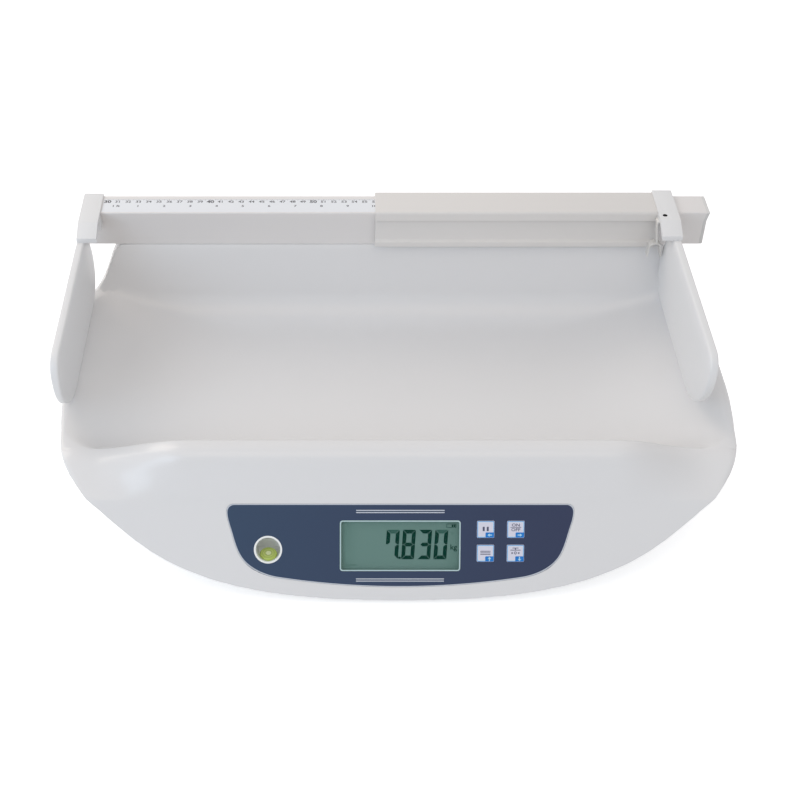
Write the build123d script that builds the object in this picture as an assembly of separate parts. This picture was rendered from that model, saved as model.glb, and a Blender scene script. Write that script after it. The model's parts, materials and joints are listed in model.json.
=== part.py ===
"""Digital baby weighing scale with a measuring rod, in millimetres.

The X axis runs along the tray, +Y points to the back and +Z up. The origin is
the middle of the whole object's footprint, on the surface that its feet stand on.
A one-piece moulded tray and console is carried on a load cell by a base that
stands on four levelling feet. A rod on the tray's back wall carries a fixed head
stop and a sliding foot stop, and four keys travel into the console.
"""
import math
import os
from build123d import *

# ---------------------------------------------------------------- tray moulding
HALF_LENGTH = 306.0         # half the tray's length, at the middle of its sides
SIDE_BARREL = 6.0           # how far the sides draw in towards the front corners
FRONT_CORNER_R = 46.0       # plan radius of the front corners
BACK_CORNER_R = 62.0        # plan radius of the back corners
BACK_Y = 184.5              # outer face of the back wall
WALL = 3.0                  # wall of the moulding
KEEL_Z = 6.4                # lowest point of the moulding's edge
RIM_Z = 95.0                # rim along the sides
KEEL_UNDER_RIM = 3.0        # how far the edge stays under the rim at the tray's ends
# The edge's rise: distance in from the tray's end, and share of the whole rise.
KEEL_STATIONS = ((173.0, 0.104), (124.0, 0.2605), (95.0, 0.416), (74.0, 0.568), (56.5, 0.7126),
                 (42.4, 0.8294), (22.0, 0.937), (0.0, 1.0))
NOSE_IN = 75.0              # where the front corner's curve begins, in from the end
FRONT_LIP_Z = 120.5         # crest of the lip over the console
FRONT_LIP_Y = -111.0
FRONT_LIP_STRAIGHT = HALF_LENGTH - 121.0  # half-length of the lip's level stretch
FRONT_LIP_END = HALF_LENGTH - 34.0        # where the lip has come down to the rim
CORNER_CREST_Y = -89.0      # line of the lip where it has come down
LIP_R = 6.0                 # half the width of the rolled lip
BACK_WALL_Z = 143.5         # ledge under the measuring rod
BACK_WALL_STRAIGHT = HALF_LENGTH - 58.0   # half-length of the ledge
BACK_WALL_END = HALF_LENGTH - 14.0        # where the back wall has come down to the rim
BACK_LEDGE_Y = BACK_Y - 27.2  # front edge of the ledge
FLOOR_Z = 66.0              # floor of the tray
CREASE_Y = -135.0           # top edge of the console face
CREASE_Z = 80.0
CONSOLE_ANGLE = 56.0        # console face, degrees from level
SIDE_RIM_Y = (-40.0, BACK_Y - 74.5)  # level stretch of the side rims
FAR = HALF_LENGTH + 44.0    # how far cutting forms run, past every side of the object

# ---------------------------------------------------------------- console
PANEL_T = 0.8               # thickness of the printed panel foil
PANEL_TOP = 3.7             # distances down the console face from its top edge
PANEL_BOTTOM = 76.7
PANEL_HALF = 149.5
WINDOW = (104.0, 44.5)      # display window, centred on the panel
WINDOW_DROP = 40.4
WINDOW_R = 2.5
LEVEL_X = -114.0
LEVEL_DROP = 43.8
LEVEL_R = 10.6
VIAL_R = 7.4
VIAL_H = 7.0
KEY = 15.0                  # side of a key
KEY_R = 1.0                 # its corner radius
KEY_PROUD = 0.25            # how far it stands out of the foil
KEY_X = (73.6, 99.5)
KEY_DROP = (25.9, 46.9)
KEY_TRAVEL = 0.6
FIT = 0.2                   # gap round pieces that drop into the console


def console_plane(drop=0.0, x=0.0):
    """Plane on the console face; its Y runs up the slope and its Z out of the face."""
    a = math.radians(CONSOLE_ANGLE)
    down = Vector(0, -math.cos(a), -math.sin(a))
    out = Vector(0, -math.sin(a), math.cos(a))
    return Plane(origin=Vector(x, CREASE_Y, CREASE_Z) + down * drop, x_dir=(1, 0, 0), z_dir=out)


def smooth(value, start, end):
    """Smooth step from 0 at start to 1 at end."""
    s = min(max((value - start) / (end - start), 0.0), 1.0)
    return s * s * (3 - 2 * s)


def keel_curve():
    """Lower edge of the moulding, seen from the front: nearly level, then up like a hull."""
    rise = RIM_Z - KEEL_UNDER_RIM - KEEL_Z
    half = [(0, KEEL_Z)] + [(HALF_LENGTH - back, KEEL_Z + share * rise) for back, share in KEEL_STATIONS]
    full = [(-x, z) for x, z in reversed(half)] + half[1:]
    return Spline(*full)


def keel_block(lift=0.0):
    """Everything above the keel curve, as deep as the object and more."""
    curve = keel_curve().moved(Location((0, lift)))
    start, end = curve @ 0, curve @ 1
    edge = Polyline(end, (FAR, end.Y), (FAR, FAR), (-FAR, FAR), (-FAR, start.Y), start)
    return extrude(Plane.XZ * make_face(curve + edge), FAR, both=True)


def plan_block(inset=0.0):
    """Vertical block with the tray's outline in plan, drawn in by inset."""
    half, back, front = HALF_LENGTH - inset, BACK_Y - inset, CREASE_Y + inset
    near = half - SIDE_BARREL
    end_y = front + FRONT_CORNER_R
    br = BACK_CORNER_R - inset
    k = 0.5523
    nose = Polyline((0, -FAR), (near - 2 * NOSE_IN, -FAR), (near - NOSE_IN, front - 45))
    corner = Bezier((near - NOSE_IN, front - 45), (near - 30, front - 2), (near, front + 14), (near, end_y))
    side = Bezier((near, end_y), (near, end_y + 30), (half, -40), (half, 10))
    rear = Bezier((half, 10), (half, 60), (half - 1, back - br - 30), (half - 3, back - br))
    turn = Bezier((half - 3, back - br), (half - 6, back - br + k * br),
                  (half - 3 - br + k * br, back), (half - 3 - br, back))
    line = Line(turn @ 1, (0, back))
    half_outline = nose + corner + side + rear + turn + line
    return extrude(make_face(half_outline + mirror(half_outline, about=Plane.YZ)), FAR)


def lip_crest(x):
    """Height and place of the front lip's crest over a point of the tray's length."""
    s = smooth(abs(x), FRONT_LIP_STRAIGHT, FRONT_LIP_END)
    return Vector(0, FRONT_LIP_Y + s * (CORNER_CREST_Y - FRONT_LIP_Y),
                  FRONT_LIP_Z + s * (RIM_Z - FRONT_LIP_Z))


def front_section(x, inset):
    """Section, across the tray, of the space over the console's upper wall and lip."""
    crest = lip_crest(x) + Vector(0, inset, -inset)
    foot = Vector(0, CREASE_Y + inset, CREASE_Z)
    shoulder = foot + (crest + Vector(0, -LIP_R, 0) - foot) * 0.86
    corner = crest + Vector(0, -LIP_R * 0.9, 0)
    at = Plane(origin=(x, 0, 0), x_dir=(0, 1, 0), z_dir=(1, 0, 0))
    points = [(-FAR, foot.Z), (foot.Y, foot.Z), (shoulder.Y, shoulder.Z)]
    wall = Polyline(*points)
    roll = Bezier((shoulder.Y, shoulder.Z), (corner.Y, corner.Z), (crest.Y, crest.Z))
    inner = SIDE_RIM_Y[0]
    rest = Polyline((crest.Y, crest.Z), (inner, crest.Z), (inner, FAR), (-FAR, FAR), points[0])
    return at * make_face(wall + roll + rest)


def front_cutter(inset=0.0):
    """The space over the upper wall of the console, from end to end."""
    straight, end_x = FRONT_LIP_STRAIGHT, FRONT_LIP_END
    step = (end_x - straight) / 6
    stations = [straight + i * step for i in range(11)]
    middle = extrude(front_section(-straight, inset), 2 * straight, dir=(1, 0, 0))
    run = loft([front_section(x, inset) for x in stations])
    return middle + run + mirror(run, about=Plane.YZ)


def top_cutter(inset=0.0):
    """The space over the side rims and over the back wall."""
    low, high = RIM_Z - inset, BACK_WALL_Z - inset
    front, back = SIDE_RIM_Y
    sides = Pos(0, (front + back) / 2, (low + FAR) / 2) * Box(2 * FAR, back - front + 0.2, FAR - low)
    run = (BACK_WALL_END - BACK_WALL_STRAIGHT) * 0.5
    slope = Bezier((BACK_WALL_STRAIGHT, high), (BACK_WALL_STRAIGHT + run, high),
                   (BACK_WALL_END - run, low), (BACK_WALL_END, low))
    ends = Polyline((BACK_WALL_END, low), (FAR, low), (FAR, FAR), (0, FAR))
    half = Line((0, high), (BACK_WALL_STRAIGHT, high)) + slope + ends
    profile = Plane.XZ * make_face(half + mirror(half, about=Plane.YZ))
    return sides + Pos(0, back, 0) * extrude(profile, -FAR)


def console_cutter(inset=0.0):
    """The space in front of the sloping console face."""
    a = math.radians(CONSOLE_ANGLE)
    y = CREASE_Y + inset / math.sin(a)
    drop = CREASE_Z + 10
    profile = Polyline((y, CREASE_Z), (y - drop / math.tan(a), CREASE_Z - drop),
                       (-FAR, CREASE_Z - drop), (-FAR, CREASE_Z), close=True)
    return extrude(Plane.YZ * make_face(profile), FAR, both=True)


def hull(inset=0.0):
    """Outer form of the moulding with the tray filled in, drawn in by inset."""
    body = plan_block(inset) & keel_block()
    return body - console_cutter(inset) - front_cutter(inset) - top_cutter(inset)


TRAY_STEPS = 6              # level sections that shape the tray's hollow below its rim
FLOOR_HALF = HALF_LENGTH - 156.0          # flat part of the tray's floor
FLOOR_FRONT = -46.0
FLOOR_BACK = BACK_Y - 92.5
HOLLOW_HALF = HALF_LENGTH - 9.5           # the hollow at the height of the side rims
HOLLOW_FRONT = -86.0
HOLLOW_BACK = BACK_Y - 39.0
HOLLOW_R = 33.0


def hollow_section(s, grow):
    """Level section of the hollow, from its floor at s = 0 to its rim at s = 1."""
    half = FLOOR_HALF + (HOLLOW_HALF - FLOOR_HALF) * s + grow
    front = FLOOR_FRONT + (HOLLOW_FRONT - FLOOR_FRONT) * s - grow
    back = FLOOR_BACK + (HOLLOW_BACK - FLOOR_BACK) * (1 - (1 - s) ** 1.5) + grow
    z = FLOOR_Z + (RIM_Z - FLOOR_Z) * s ** 2.2 - grow
    r = HOLLOW_R + 9 * (1 - s) + grow
    return Pos(0, (front + back) / 2, z) * RectangleRounded(2 * half, back - front, r)


def tray_block(grow=0.0):
    """The tray's hollow, grown on every side by grow."""
    bowl = loft([hollow_section(i / (TRAY_STEPS - 1), grow) for i in range(TRAY_STEPS)])
    front_lean = (HOLLOW_FRONT - FRONT_LIP_Y - LIP_R) / (FRONT_LIP_Z - RIM_Z)
    back_lean = (BACK_LEDGE_Y - HOLLOW_BACK) / (BACK_WALL_Z - RIM_Z)
    low, high = RIM_Z - grow, BACK_WALL_Z + 66.5
    rise = high - low
    front, back = HOLLOW_FRONT - grow, HOLLOW_BACK + grow
    profile = Polyline((front, low), (front - front_lean * rise, high),
                       (back + back_lean * rise, high), (back, low), close=True)
    return bowl + extrude(Plane.YZ * make_face(profile), FAR, both=True)


# ---------------------------------------------------------------- console openings
def panel_face(grow=0.0):
    """Outline of the printed panel, grown by grow, in the console face's own plane."""
    top, half, r = grow - PANEL_TOP, PANEL_HALF + grow, 6.0
    low_x, low_y = half - 42.2, -68.4 - grow
    round_top = ThreePointArc((half - r, top), (half - r * 0.293, top - r * 0.293), (half, top - r))
    side = Spline((half, top - r), (half - 3.2, -25.6), (half - 13.8, -52.9 - grow / 2), (low_x, low_y),
                  tangents=((0, -1), (-1, -0.19)))
    right = round_top + side
    bottom = ThreePointArc((low_x, low_y), (0, -PANEL_BOTTOM - grow), (-low_x, low_y))
    cap = Line((r - half, top), (half - r, top))
    return make_face(cap + right + bottom + mirror(right, about=Plane.YZ))


def on_console(drop, x=0.0, depth=0.0):
    """Plane on the console face at a point, moved depth into the console."""
    return console_plane(drop, x).offset(-depth)


def key_places():
    """Middle of each key: its name, place along the console and drop down the face."""
    names = (("key_left", "key_right"), ("key_up", "key_down"))
    for row, drop in enumerate(KEY_DROP):
        for column, x in enumerate(KEY_X):
            yield names[row][column], x, drop


def console_holes():
    """What is cut right through the console: window, keys and level well."""
    over, deep = 2.0, 14.0
    window = RectangleRounded(WINDOW[0] + 2 * FIT, WINDOW[1] + 2 * FIT, WINDOW_R + FIT)
    cut = extrude(on_console(WINDOW_DROP, 0, -over) * window, -deep)
    hole = RectangleRounded(KEY + 2 * FIT, KEY + 2 * FIT, KEY_R + FIT)
    for _, x, drop in key_places():
        cut += extrude(on_console(drop, x, -over) * hole, -deep)
    return cut + extrude(on_console(LEVEL_DROP, LEVEL_X, -over) * Circle(CUP_R + FIT / 4), -deep)


def console_openings():
    """What is cut out of the console wall: the panel's recess and the holes in it."""
    return extrude(on_console(0) * panel_face(FIT), -PANEL_T) + console_holes()


# ---------------------------------------------------------------- console inside
CUP_R = LEVEL_R + 1.6       # outside of the level's cup
CUP_DEPTH = 27.0
VIAL_DEPTH = 9.0            # middle of the vial's top, in from the face and down the slope
VIAL_DOWN = 4.9
KEY_FLANGE = 1.0            # flange that keeps a key behind the wall
KEY_FLANGE_T = 0.8
SWITCH_H = 1.5
LCD_T = 3.0
BOARD_T = 1.6
BOARD = (-62.0, 118.0)      # the display board's ends
BOARD_HALF_H = 27.0
BOSS_R = 3.2
SCREW_R = 1.25


def vial_plane():
    """Level plane at the middle of the vial's top."""
    at = on_console(LEVEL_DROP + VIAL_DOWN, LEVEL_X, VIAL_DEPTH).origin
    return Plane(origin=at, z_dir=(0, 0, 1))


def level_cup():
    """White cup let into the console, with a level floor for the vial."""
    face = on_console(LEVEL_DROP, LEVEL_X)
    cup = extrude(face * Circle(CUP_R), -CUP_DEPTH)
    bore = extrude(face * Circle(LEVEL_R), -CUP_DEPTH + 1.5)
    top = vial_plane().origin.Z
    floor_z = top - VIAL_H
    above = Pos(LEVEL_X, face.origin.Y, floor_z + 40) * Box(60, 100, 80)
    pocket = extrude(vial_plane() * Circle(VIAL_R), -VIAL_H)
    return cup - (bore & above) - pocket


def level_vial():
    """Circular spirit level, bevelled round its top."""
    body = extrude(vial_plane() * Circle(VIAL_R), -VIAL_H)
    return chamfer(body.edges().sort_by(Axis.Z)[-1], 0.8)


def board_bosses():
    """Places of the four bosses that hold the display board."""
    for x in (BOARD[0] + 4, BOARD[1] - 4):
        for y in (-BOARD_HALF_H + 4, BOARD_HALF_H - 4):
            yield x, WINDOW_DROP - y


def board_boss_cut(depth_from, depth_to, r):
    """Four posts behind the console face, between two depths."""
    posts = [extrude(on_console(drop, x, depth_from) * Circle(r), depth_from - depth_to)
             for x, drop in board_bosses()]
    return Part() + posts


LCD_BACK = WALL + LCD_T     # depth of the display's back, on the board's front
BOARD_BACK = LCD_BACK + BOARD_T


def display_lens():
    """Clear window, flush with the panel."""
    shape = RectangleRounded(WINDOW[0], WINDOW[1], WINDOW_R)
    return extrude(on_console(WINDOW_DROP) * shape, -WALL)


def lcd_module():
    """Liquid crystal cell, against the back of the wall round the window."""
    glass = Rectangle(WINDOW[0] + 5, WINDOW[1] + 3)
    return extrude(on_console(WINDOW_DROP, 0, WALL) * glass, -LCD_T)


def display_board():
    """Board that carries the display and the key switches."""
    width = BOARD[1] - BOARD[0]
    middle = (BOARD[0] + BOARD[1]) / 2
    plate = extrude(on_console(WINDOW_DROP, middle, LCD_BACK) * Rectangle(width, 2 * BOARD_HALF_H), -BOARD_T)
    return plate - board_boss_cut(LCD_BACK - 1, BOARD_BACK + 1, SCREW_R)


def key_switches():
    """Four tact switches on the board, their plungers clear of the keys at full travel."""
    parts = []
    for _, x, drop in key_places():
        base = extrude(on_console(drop, x, LCD_BACK) * Rectangle(6, 6), 1.0)
        parts.append(base + extrude(on_console(drop, x, LCD_BACK) * Circle(1.7), SWITCH_H))
    return parts


def key_cap(x, drop):
    """Key with a flange behind the wall; its top stands a little proud."""
    height = KEY_PROUD + WALL + 0.05
    top = extrude(on_console(drop, x, -KEY_PROUD) * RectangleRounded(KEY, KEY, KEY_R), -height)
    outward = Axis((0, 0, 0), console_plane().z_dir)
    top = chamfer(top.faces().sort_by(outward)[-1].edges(), 0.2)
    side = KEY + 2 * FIT + 2 * KEY_FLANGE
    return top + extrude(on_console(drop, x, WALL + 0.05) * Rectangle(side, side), -KEY_FLANGE_T)


def board_screws():
    """Screws that hold the display board to its bosses."""
    parts = []
    for x, drop in board_bosses():
        head = extrude(on_console(drop, x, BOARD_BACK) * Circle(2.4), -1.6)
        shank = extrude(on_console(drop, x, WALL + 1) * Circle(SCREW_R), -(BOARD_BACK - WALL - 1))
        parts.append(head + shank)
    return parts


def panel_foil():
    """Printed foil in the recess of the console, open at the window, keys and level."""
    return extrude(on_console(0) * panel_face(), -PANEL_T) - console_holes()


# ---------------------------------------------------------------- measuring rod
ROD_Y = BACK_Y - 18.5       # middle of the rod
ROD_HEIGHT = 40.2           # over the ledge that it stands on
ROD_TOP = BACK_WALL_Z + ROD_HEIGHT
ROD_HEAD = 30.0             # width of the head and of the stem under it
ROD_STEM = 18.0
ROD_HEAD_H = 14.2           # from the top down to the neck
ROD_NECK_Z = ROD_TOP - ROD_HEAD_H
ROD_EDGE = 1.5              # upright edge of the head, over its slope
ROD_CORNER = 1.2            # rounding of the head's upper corners
ROD_WALL = 2.0
ROD_LEFT = 8.5 - HALF_LENGTH
ROD_RIGHT = HALF_LENGTH - 3.5
PLUG_T = 3.5                # end plug's flange
PLUG_DEPTH = 12.0           # how far the plug reaches into the rod
RULER_W = 22.0
RULER_T = 0.5
RULER_Y = ROD_Y - 2.5
RULER_ENDS = (ROD_LEFT + 17.0, ROD_RIGHT - 52.5)
FIXING_R = 1.6              # screws of the brackets and the end stops
BRACKET_X = (-190.0, 190.0)
BRACKET = (30.0, 19.0, 2.5)  # length, height and thickness of a bracket
BRACKET_FOOT = 8.0          # how far its foot reaches behind the rod
BRACKET_HOLE_Z = 11.8       # its hole for the rod's screw, over the ledge
BRACKET_SCREW = (9.0, 5.2)  # its wall screws: either side of its middle, and behind the rod
BRACKET_BOSS = (3.4, 16.0)  # bosses in the wall for them: radius and depth


def soften(face, radius, *corners):
    """The face with its corners nearest to the given points rounded."""
    return fillet([face.vertices().sort_by_distance(Vector(*corner))[0] for corner in corners], radius)


def rod_outline(grow=0.0):
    """Section of the rod: a keystone head over a narrower stem."""
    head, stem = ROD_HEAD / 2 + grow, ROD_STEM / 2 + grow
    half = Polyline((0, BACK_WALL_Z), (stem, BACK_WALL_Z), (stem, ROD_NECK_Z),
                    (head, ROD_TOP - ROD_EDGE), (head, ROD_TOP + grow), (0, ROD_TOP + grow))
    face = make_face(half + mirror(half, about=Plane.YZ))
    return Pos(ROD_Y, 0, 0) * face


def rod_face():
    """The rod's own section, its upper corners rounded."""
    half = ROD_HEAD / 2
    return soften(rod_outline(), ROD_CORNER, (ROD_Y - half, ROD_TOP), (ROD_Y + half, ROD_TOP))


def along_x(face, x0, x1):
    """Prism with a section drawn in Y and Z, from x0 to x1."""
    return extrude(Plane(origin=(x0, 0, 0), x_dir=(0, 1, 0), z_dir=(1, 0, 0)) * face, x1 - x0)


def measuring_rod():
    """Hollow extruded rod with a shallow track for the ruler on its top."""
    bar = along_x(rod_face(), ROD_LEFT, ROD_RIGHT)
    bar -= along_x(offset(rod_outline(), -ROD_WALL), ROD_LEFT - 1, ROD_RIGHT + 1)
    x0, x1 = RULER_ENDS
    track = Pos((x0 + x1) / 2, RULER_Y, ROD_TOP) * Box(x1 - x0 + 0.2, RULER_W + 0.2, 2 * RULER_T)
    return bar - track - rod_screw_holes()


def rod_screw_holes():
    """Holes in the rod for the screws of its brackets and of the head stop."""
    z = BACK_WALL_Z + BRACKET_HOLE_Z
    holes = [Pos(x, ROD_Y + ROD_STEM / 2, z) * Rot(90, 0, 0) * Cylinder(FIXING_R, 10) for x in BRACKET_X]
    return holes + [head_screw_hole()]


def ruler_strip():
    """Printed ruler in the rod's track."""
    x0, x1 = RULER_ENDS
    return Pos((x0 + x1) / 2, RULER_Y, ROD_TOP - RULER_T / 2) * Box(x1 - x0, RULER_W, RULER_T)


def rod_plug():
    """Plug in the rod's free end, the edge of its flange broken."""
    flange = along_x(rod_face(), ROD_RIGHT, ROD_RIGHT + PLUG_T)
    flange = chamfer(flange.faces().sort_by(Axis.X)[-1].edges(), 0.9)
    return flange + along_x(offset(rod_outline(), -ROD_WALL - 0.1), ROD_RIGHT - PLUG_DEPTH, ROD_RIGHT)


def bracket_screw_places():
    """Places of the screws that hold the brackets to the wall."""
    apart, behind = BRACKET_SCREW
    for x in BRACKET_X:
        for side in (-apart, apart):
            yield x + side, ROD_Y + ROD_STEM / 2 + behind


def rod_brackets():
    """Two angle brackets behind the rod, on the ledge of the back wall."""
    length, height, t = BRACKET
    y0 = ROD_Y + ROD_STEM / 2
    wall_holes = [Pos(x, y, BACK_WALL_Z) * Cylinder(FIXING_R, 20) for x, y in bracket_screw_places()]
    parts = []
    for x in BRACKET_X:
        upright = Pos(x, y0 + t / 2, BACK_WALL_Z + height / 2) * Box(length, t, height)
        foot = Pos(x, y0 + BRACKET_FOOT / 2, BACK_WALL_Z + t / 2) * Box(length, BRACKET_FOOT, t)
        rod_hole = Pos(x, y0, BACK_WALL_Z + BRACKET_HOLE_Z) * Rot(90, 0, 0) * Cylinder(FIXING_R, 20)
        parts.append(upright + foot - rod_hole - wall_holes)
    return parts


def bracket_screws():
    """Screws of the brackets: two down into the wall and one into the rod, at each."""
    t = BRACKET[2]
    y0 = ROD_Y + ROD_STEM / 2
    parts = []
    for x, y in bracket_screw_places():
        shank = Pos(x, y, BACK_WALL_Z + t - 6) * Cylinder(FIXING_R, 12)
        parts.append(shank + Pos(x, y, BACK_WALL_Z + t + 1) * Cylinder(2.6, 2))
    for x in BRACKET_X:
        z = BACK_WALL_Z + BRACKET_HOLE_Z
        shank = Pos(x, y0 + t - 3, z) * Rot(90, 0, 0) * Cylinder(FIXING_R, 6)
        parts.append(shank + Pos(x, y0 + t + 1, z) * Rot(90, 0, 0) * Cylinder(2.8, 2))
    return parts


# ---------------------------------------------------------------- end stops
SLIDE_GAP = 0.3             # running gap between the rod and what slides on it
STOP_X = HALF_LENGTH - 32.8  # outer side of the foot stop's arm, at rest
HEAD_X = 5.5 - HALF_LENGTH  # outer side of the head stop's arm
HOOK = 3.0                  # how far the sleeve and arms reach under the rod's head
HOOK_Z = ROD_NECK_Z - HOOK
SLEEVE_LENGTH = 273.6
SLEEVE_END = STOP_X - 16.2  # inside the foot stop's arm
SLEEVE_OVER = 2.5           # its wall over, before and behind the rod's head
SLEEVE_FACE = 3.7
SLEEVE_REAR = 1.9
SLEEVE_TOP = ROD_TOP + SLIDE_GAP + SLEEVE_OVER
SLEEVE_FRONT = ROD_Y - ROD_HEAD / 2 - SLIDE_GAP - SLEEVE_FACE
SLEEVE_BACK = ROD_Y + ROD_HEAD / 2 + SLIDE_GAP + SLEEVE_REAR
SLEEVE_CLEAR = 1.5          # between its lower edge and the tray's ledge
SLEEVE_LOW = BACK_WALL_Z + SLEEVE_CLEAR
SLEEVE_BAND = 10.0          # depth of the upper band of its face
SLEEVE_STEP = 4.4           # how far the face is set back under the band
SLEEVE_LIP = 6.0            # height of the lip along its lower edge
SLEEVE_CORNER = 2.4         # rounding of its upper front edge
ARM_OVER = 1.5              # the foot stop's arm over and behind the sleeve
ARM_REAR = 1.0
HEAD_OVER = 1.8             # the head stop's arm over and behind the rod
HEAD_REAR = 1.5
ARM_W = 19.0
ARM_T = 4.5
ARM_EDGE_Y = ROD_Y - 34.0   # where an arm's top turns down to the blade
ARM_REACH = 25.0            # from there to its toe
ARM_FALL = 10.5
ARM_RIDGE_R = 4.0
TOE_R = 9.0                 # rounding of the toe on the side of the blade's face
HEAD_SCREW = (10.0, 12.0)   # its place: in from the outer side, and under the arm's top
HEAD_SCREW_L = 9.0
BLADE_T = 6.8
BLADE_GAPS = (1.5, 4.0)     # under the head's and the foot's blade, over the side rims
BLADE_LENGTH = 216.5
BLADE_BEHIND = 17.5         # how far a blade reaches behind the turn of its arm
BLADE_UNDER = 10.0          # its top, under the top of the arm
BLADE_TOP_R = (16.0, 46.0)  # upper corners: front and back
BLADE_FLAT = (1.0, 3.0)     # straight edge between the upper and lower corners, front and back
BLADE_EDGE = 1.2            # chamfer round both of its faces
CROWN = 2.2                 # how far the face's padded field stands out
CROWN_IN = (4.0, 12.0)      # the field's foot and top, in from the blade's outline
BLADE_SETBACK = 1.2         # from the outer side of the foot stop's arm


def sleeve_outline():
    """Section of the sleeve: a channel over the rod's head, hooked under it behind."""
    front, set_back = SLEEVE_FRONT, SLEEVE_FRONT + SLEEVE_STEP
    band = SLEEVE_TOP - SLEEVE_BAND
    lip = SLEEVE_LOW + SLEEVE_LIP
    face = make_face(Polyline(
        (front, SLEEVE_TOP), (SLEEVE_BACK, SLEEVE_TOP), (SLEEVE_BACK, HOOK_Z), (ROD_Y, HOOK_Z),
        (ROD_Y, SLEEVE_LOW), (front + 2, SLEEVE_LOW), (front + 2, lip), (set_back, lip + 1.5),
        (set_back, band - 3), (front, band), close=True))
    face = soften(face, SLEEVE_CORNER, (front, SLEEVE_TOP))
    face = soften(face, 1.0, (SLEEVE_BACK, SLEEVE_TOP), (front + 2, SLEEVE_LOW))
    return face - rod_outline(SLIDE_GAP) - stem_room()


def stem_room():
    """Section of the room for the rod's stem, open downwards."""
    tall = ROD_NECK_Z - BACK_WALL_Z + 20
    return Pos(ROD_Y, ROD_NECK_Z + 1 - tall / 2) * Rectangle(ROD_STEM + 2 * SLIDE_GAP, tall)


def slider_sleeve():
    """Sleeve that slides along the rod; its mouth reads the ruler."""
    return along_x(sleeve_outline(), SLEEVE_END - SLEEVE_LENGTH, SLEEVE_END)


def foot_arm_seat():
    """Top and back of the foot stop's arm, which laps over the sleeve."""
    return SLEEVE_TOP + ARM_OVER, SLEEVE_BACK + ARM_REAR


def head_arm_seat():
    """Top and back of the head stop's arm, which sits on the bare rod."""
    return ROD_TOP + HEAD_OVER, ROD_Y + ROD_HEAD / 2 + HEAD_REAR


def arm_outline(top, back):
    """Section of an end stop's arm: a saddle on the rod that slopes down to the blade."""
    toe_y, toe_z = ARM_EDGE_Y - ARM_REACH, top - ARM_FALL
    under = top - ARM_T - 0.5
    inside = SLEEVE_FRONT - 1
    return make_face(Polyline(
        (back, top), (ARM_EDGE_Y, top), (toe_y, toe_z), (toe_y, toe_z - ARM_T),
        (ARM_EDGE_Y + 1, under), (inside, under), (inside, HOOK_Z), (back, HOOK_Z), close=True))


def arm_block(x0, seat, inner_x):
    """One arm with its ridge and the inner corner of its toe rounded, not yet fitted to the rod."""
    top = seat[0]
    arm = along_x(arm_outline(*seat), x0, x0 + ARM_W)
    ridge = arm.edges().filter_by(Axis.X).filter_by(
        lambda e: abs(e.center().Y - ARM_EDGE_Y) < 0.1 and e.center().Z > top - 1)
    arm = fillet(ridge, ARM_RIDGE_R)
    toe = arm.edges().filter_by(Axis.Z).sort_by(Axis.Y)[:2].sort_by_distance(
        Vector(inner_x, ARM_EDGE_Y - ARM_REACH, top - ARM_FALL))[0]
    return fillet(toe, TOE_R)


def rod_space(x0, x1):
    """Room for the rod inside an arm."""
    return along_x(rod_outline(SLIDE_GAP), x0, x1) + along_x(stem_room(), x0, x1)


def blade_outline(low, top):
    """Outline of a blade: its front end turned up, its back end round."""
    back = ARM_EDGE_Y + BLADE_BEHIND
    front, height = back - BLADE_LENGTH, top - low
    face = Pos((front + back) / 2, (low + top) / 2) * Rectangle(BLADE_LENGTH, height)
    for y, upper, flat in zip((front, back), BLADE_TOP_R, BLADE_FLAT):
        face = soften(face, upper, (y, top))
        face = soften(face, height - upper - flat, (y, low))
    return face


def blade(outer_x, low, top, inward):
    """End plate with broken edges and a padded field on its inner face."""
    outline = blade_outline(low, top)
    face_x = outer_x + inward * BLADE_T
    plate = along_x(outline, *sorted((outer_x, face_x)))
    plate = chamfer(plate.faces().filter_by(Axis.X).edges(), BLADE_EDGE)
    field = []
    for rise, draw in zip((-0.5, CROWN), CROWN_IN):
        level = Plane(origin=(face_x + inward * rise, 0, 0), x_dir=(0, 1, 0), z_dir=(1, 0, 0))
        field.append(level * offset(outline, -draw))
    return plate + loft(field)


def foot_stop_arm():
    """Arm that slides with the sleeve."""
    x0 = STOP_X - ARM_W
    arm = arm_block(x0, foot_arm_seat(), x0) - rod_space(x0 - 1, STOP_X + 1)
    low = HOOK_Z - 20
    solid_sleeve = along_x(make_face(Polyline(
        (SLEEVE_FRONT, low), (SLEEVE_FRONT, SLEEVE_TOP), (SLEEVE_BACK, SLEEVE_TOP),
        (SLEEVE_BACK, low), close=True)), x0 - 1, SLEEVE_END)
    return arm - solid_sleeve - brake_screw_hole()


def head_stop_arm():
    """Arm fixed on the rod's left end, closed at its outer side."""
    arm = arm_block(HEAD_X, head_arm_seat(), HEAD_X + ARM_W)
    return arm - rod_space(ROD_LEFT, HEAD_X + ARM_W + 1) - head_screw_hole()


def head_screw_hole():
    """Hole of the screw that holds the head stop to the rod."""
    top, back = head_arm_seat()
    return Pos(HEAD_X + HEAD_SCREW[0], back, top - HEAD_SCREW[1]) * Rot(90, 0, 0) * Cylinder(FIXING_R, 26)


def head_stop_screw():
    """Screw through the head stop's arm into the back of the rod."""
    top, back = head_arm_seat()
    at = Pos(HEAD_X + HEAD_SCREW[0], back - HEAD_SCREW_L / 2, top - HEAD_SCREW[1])
    return at * Rot(90, 0, 0) * Cylinder(FIXING_R, HEAD_SCREW_L)


def foot_stop_blade():
    """Blade of the foot stop, let into its arm."""
    seat = foot_arm_seat()
    whole = blade(STOP_X - BLADE_SETBACK, RIM_Z + BLADE_GAPS[1], seat[0] - BLADE_UNDER, -1)
    return whole - along_x(arm_outline(*seat), STOP_X - ARM_W, STOP_X)


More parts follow.
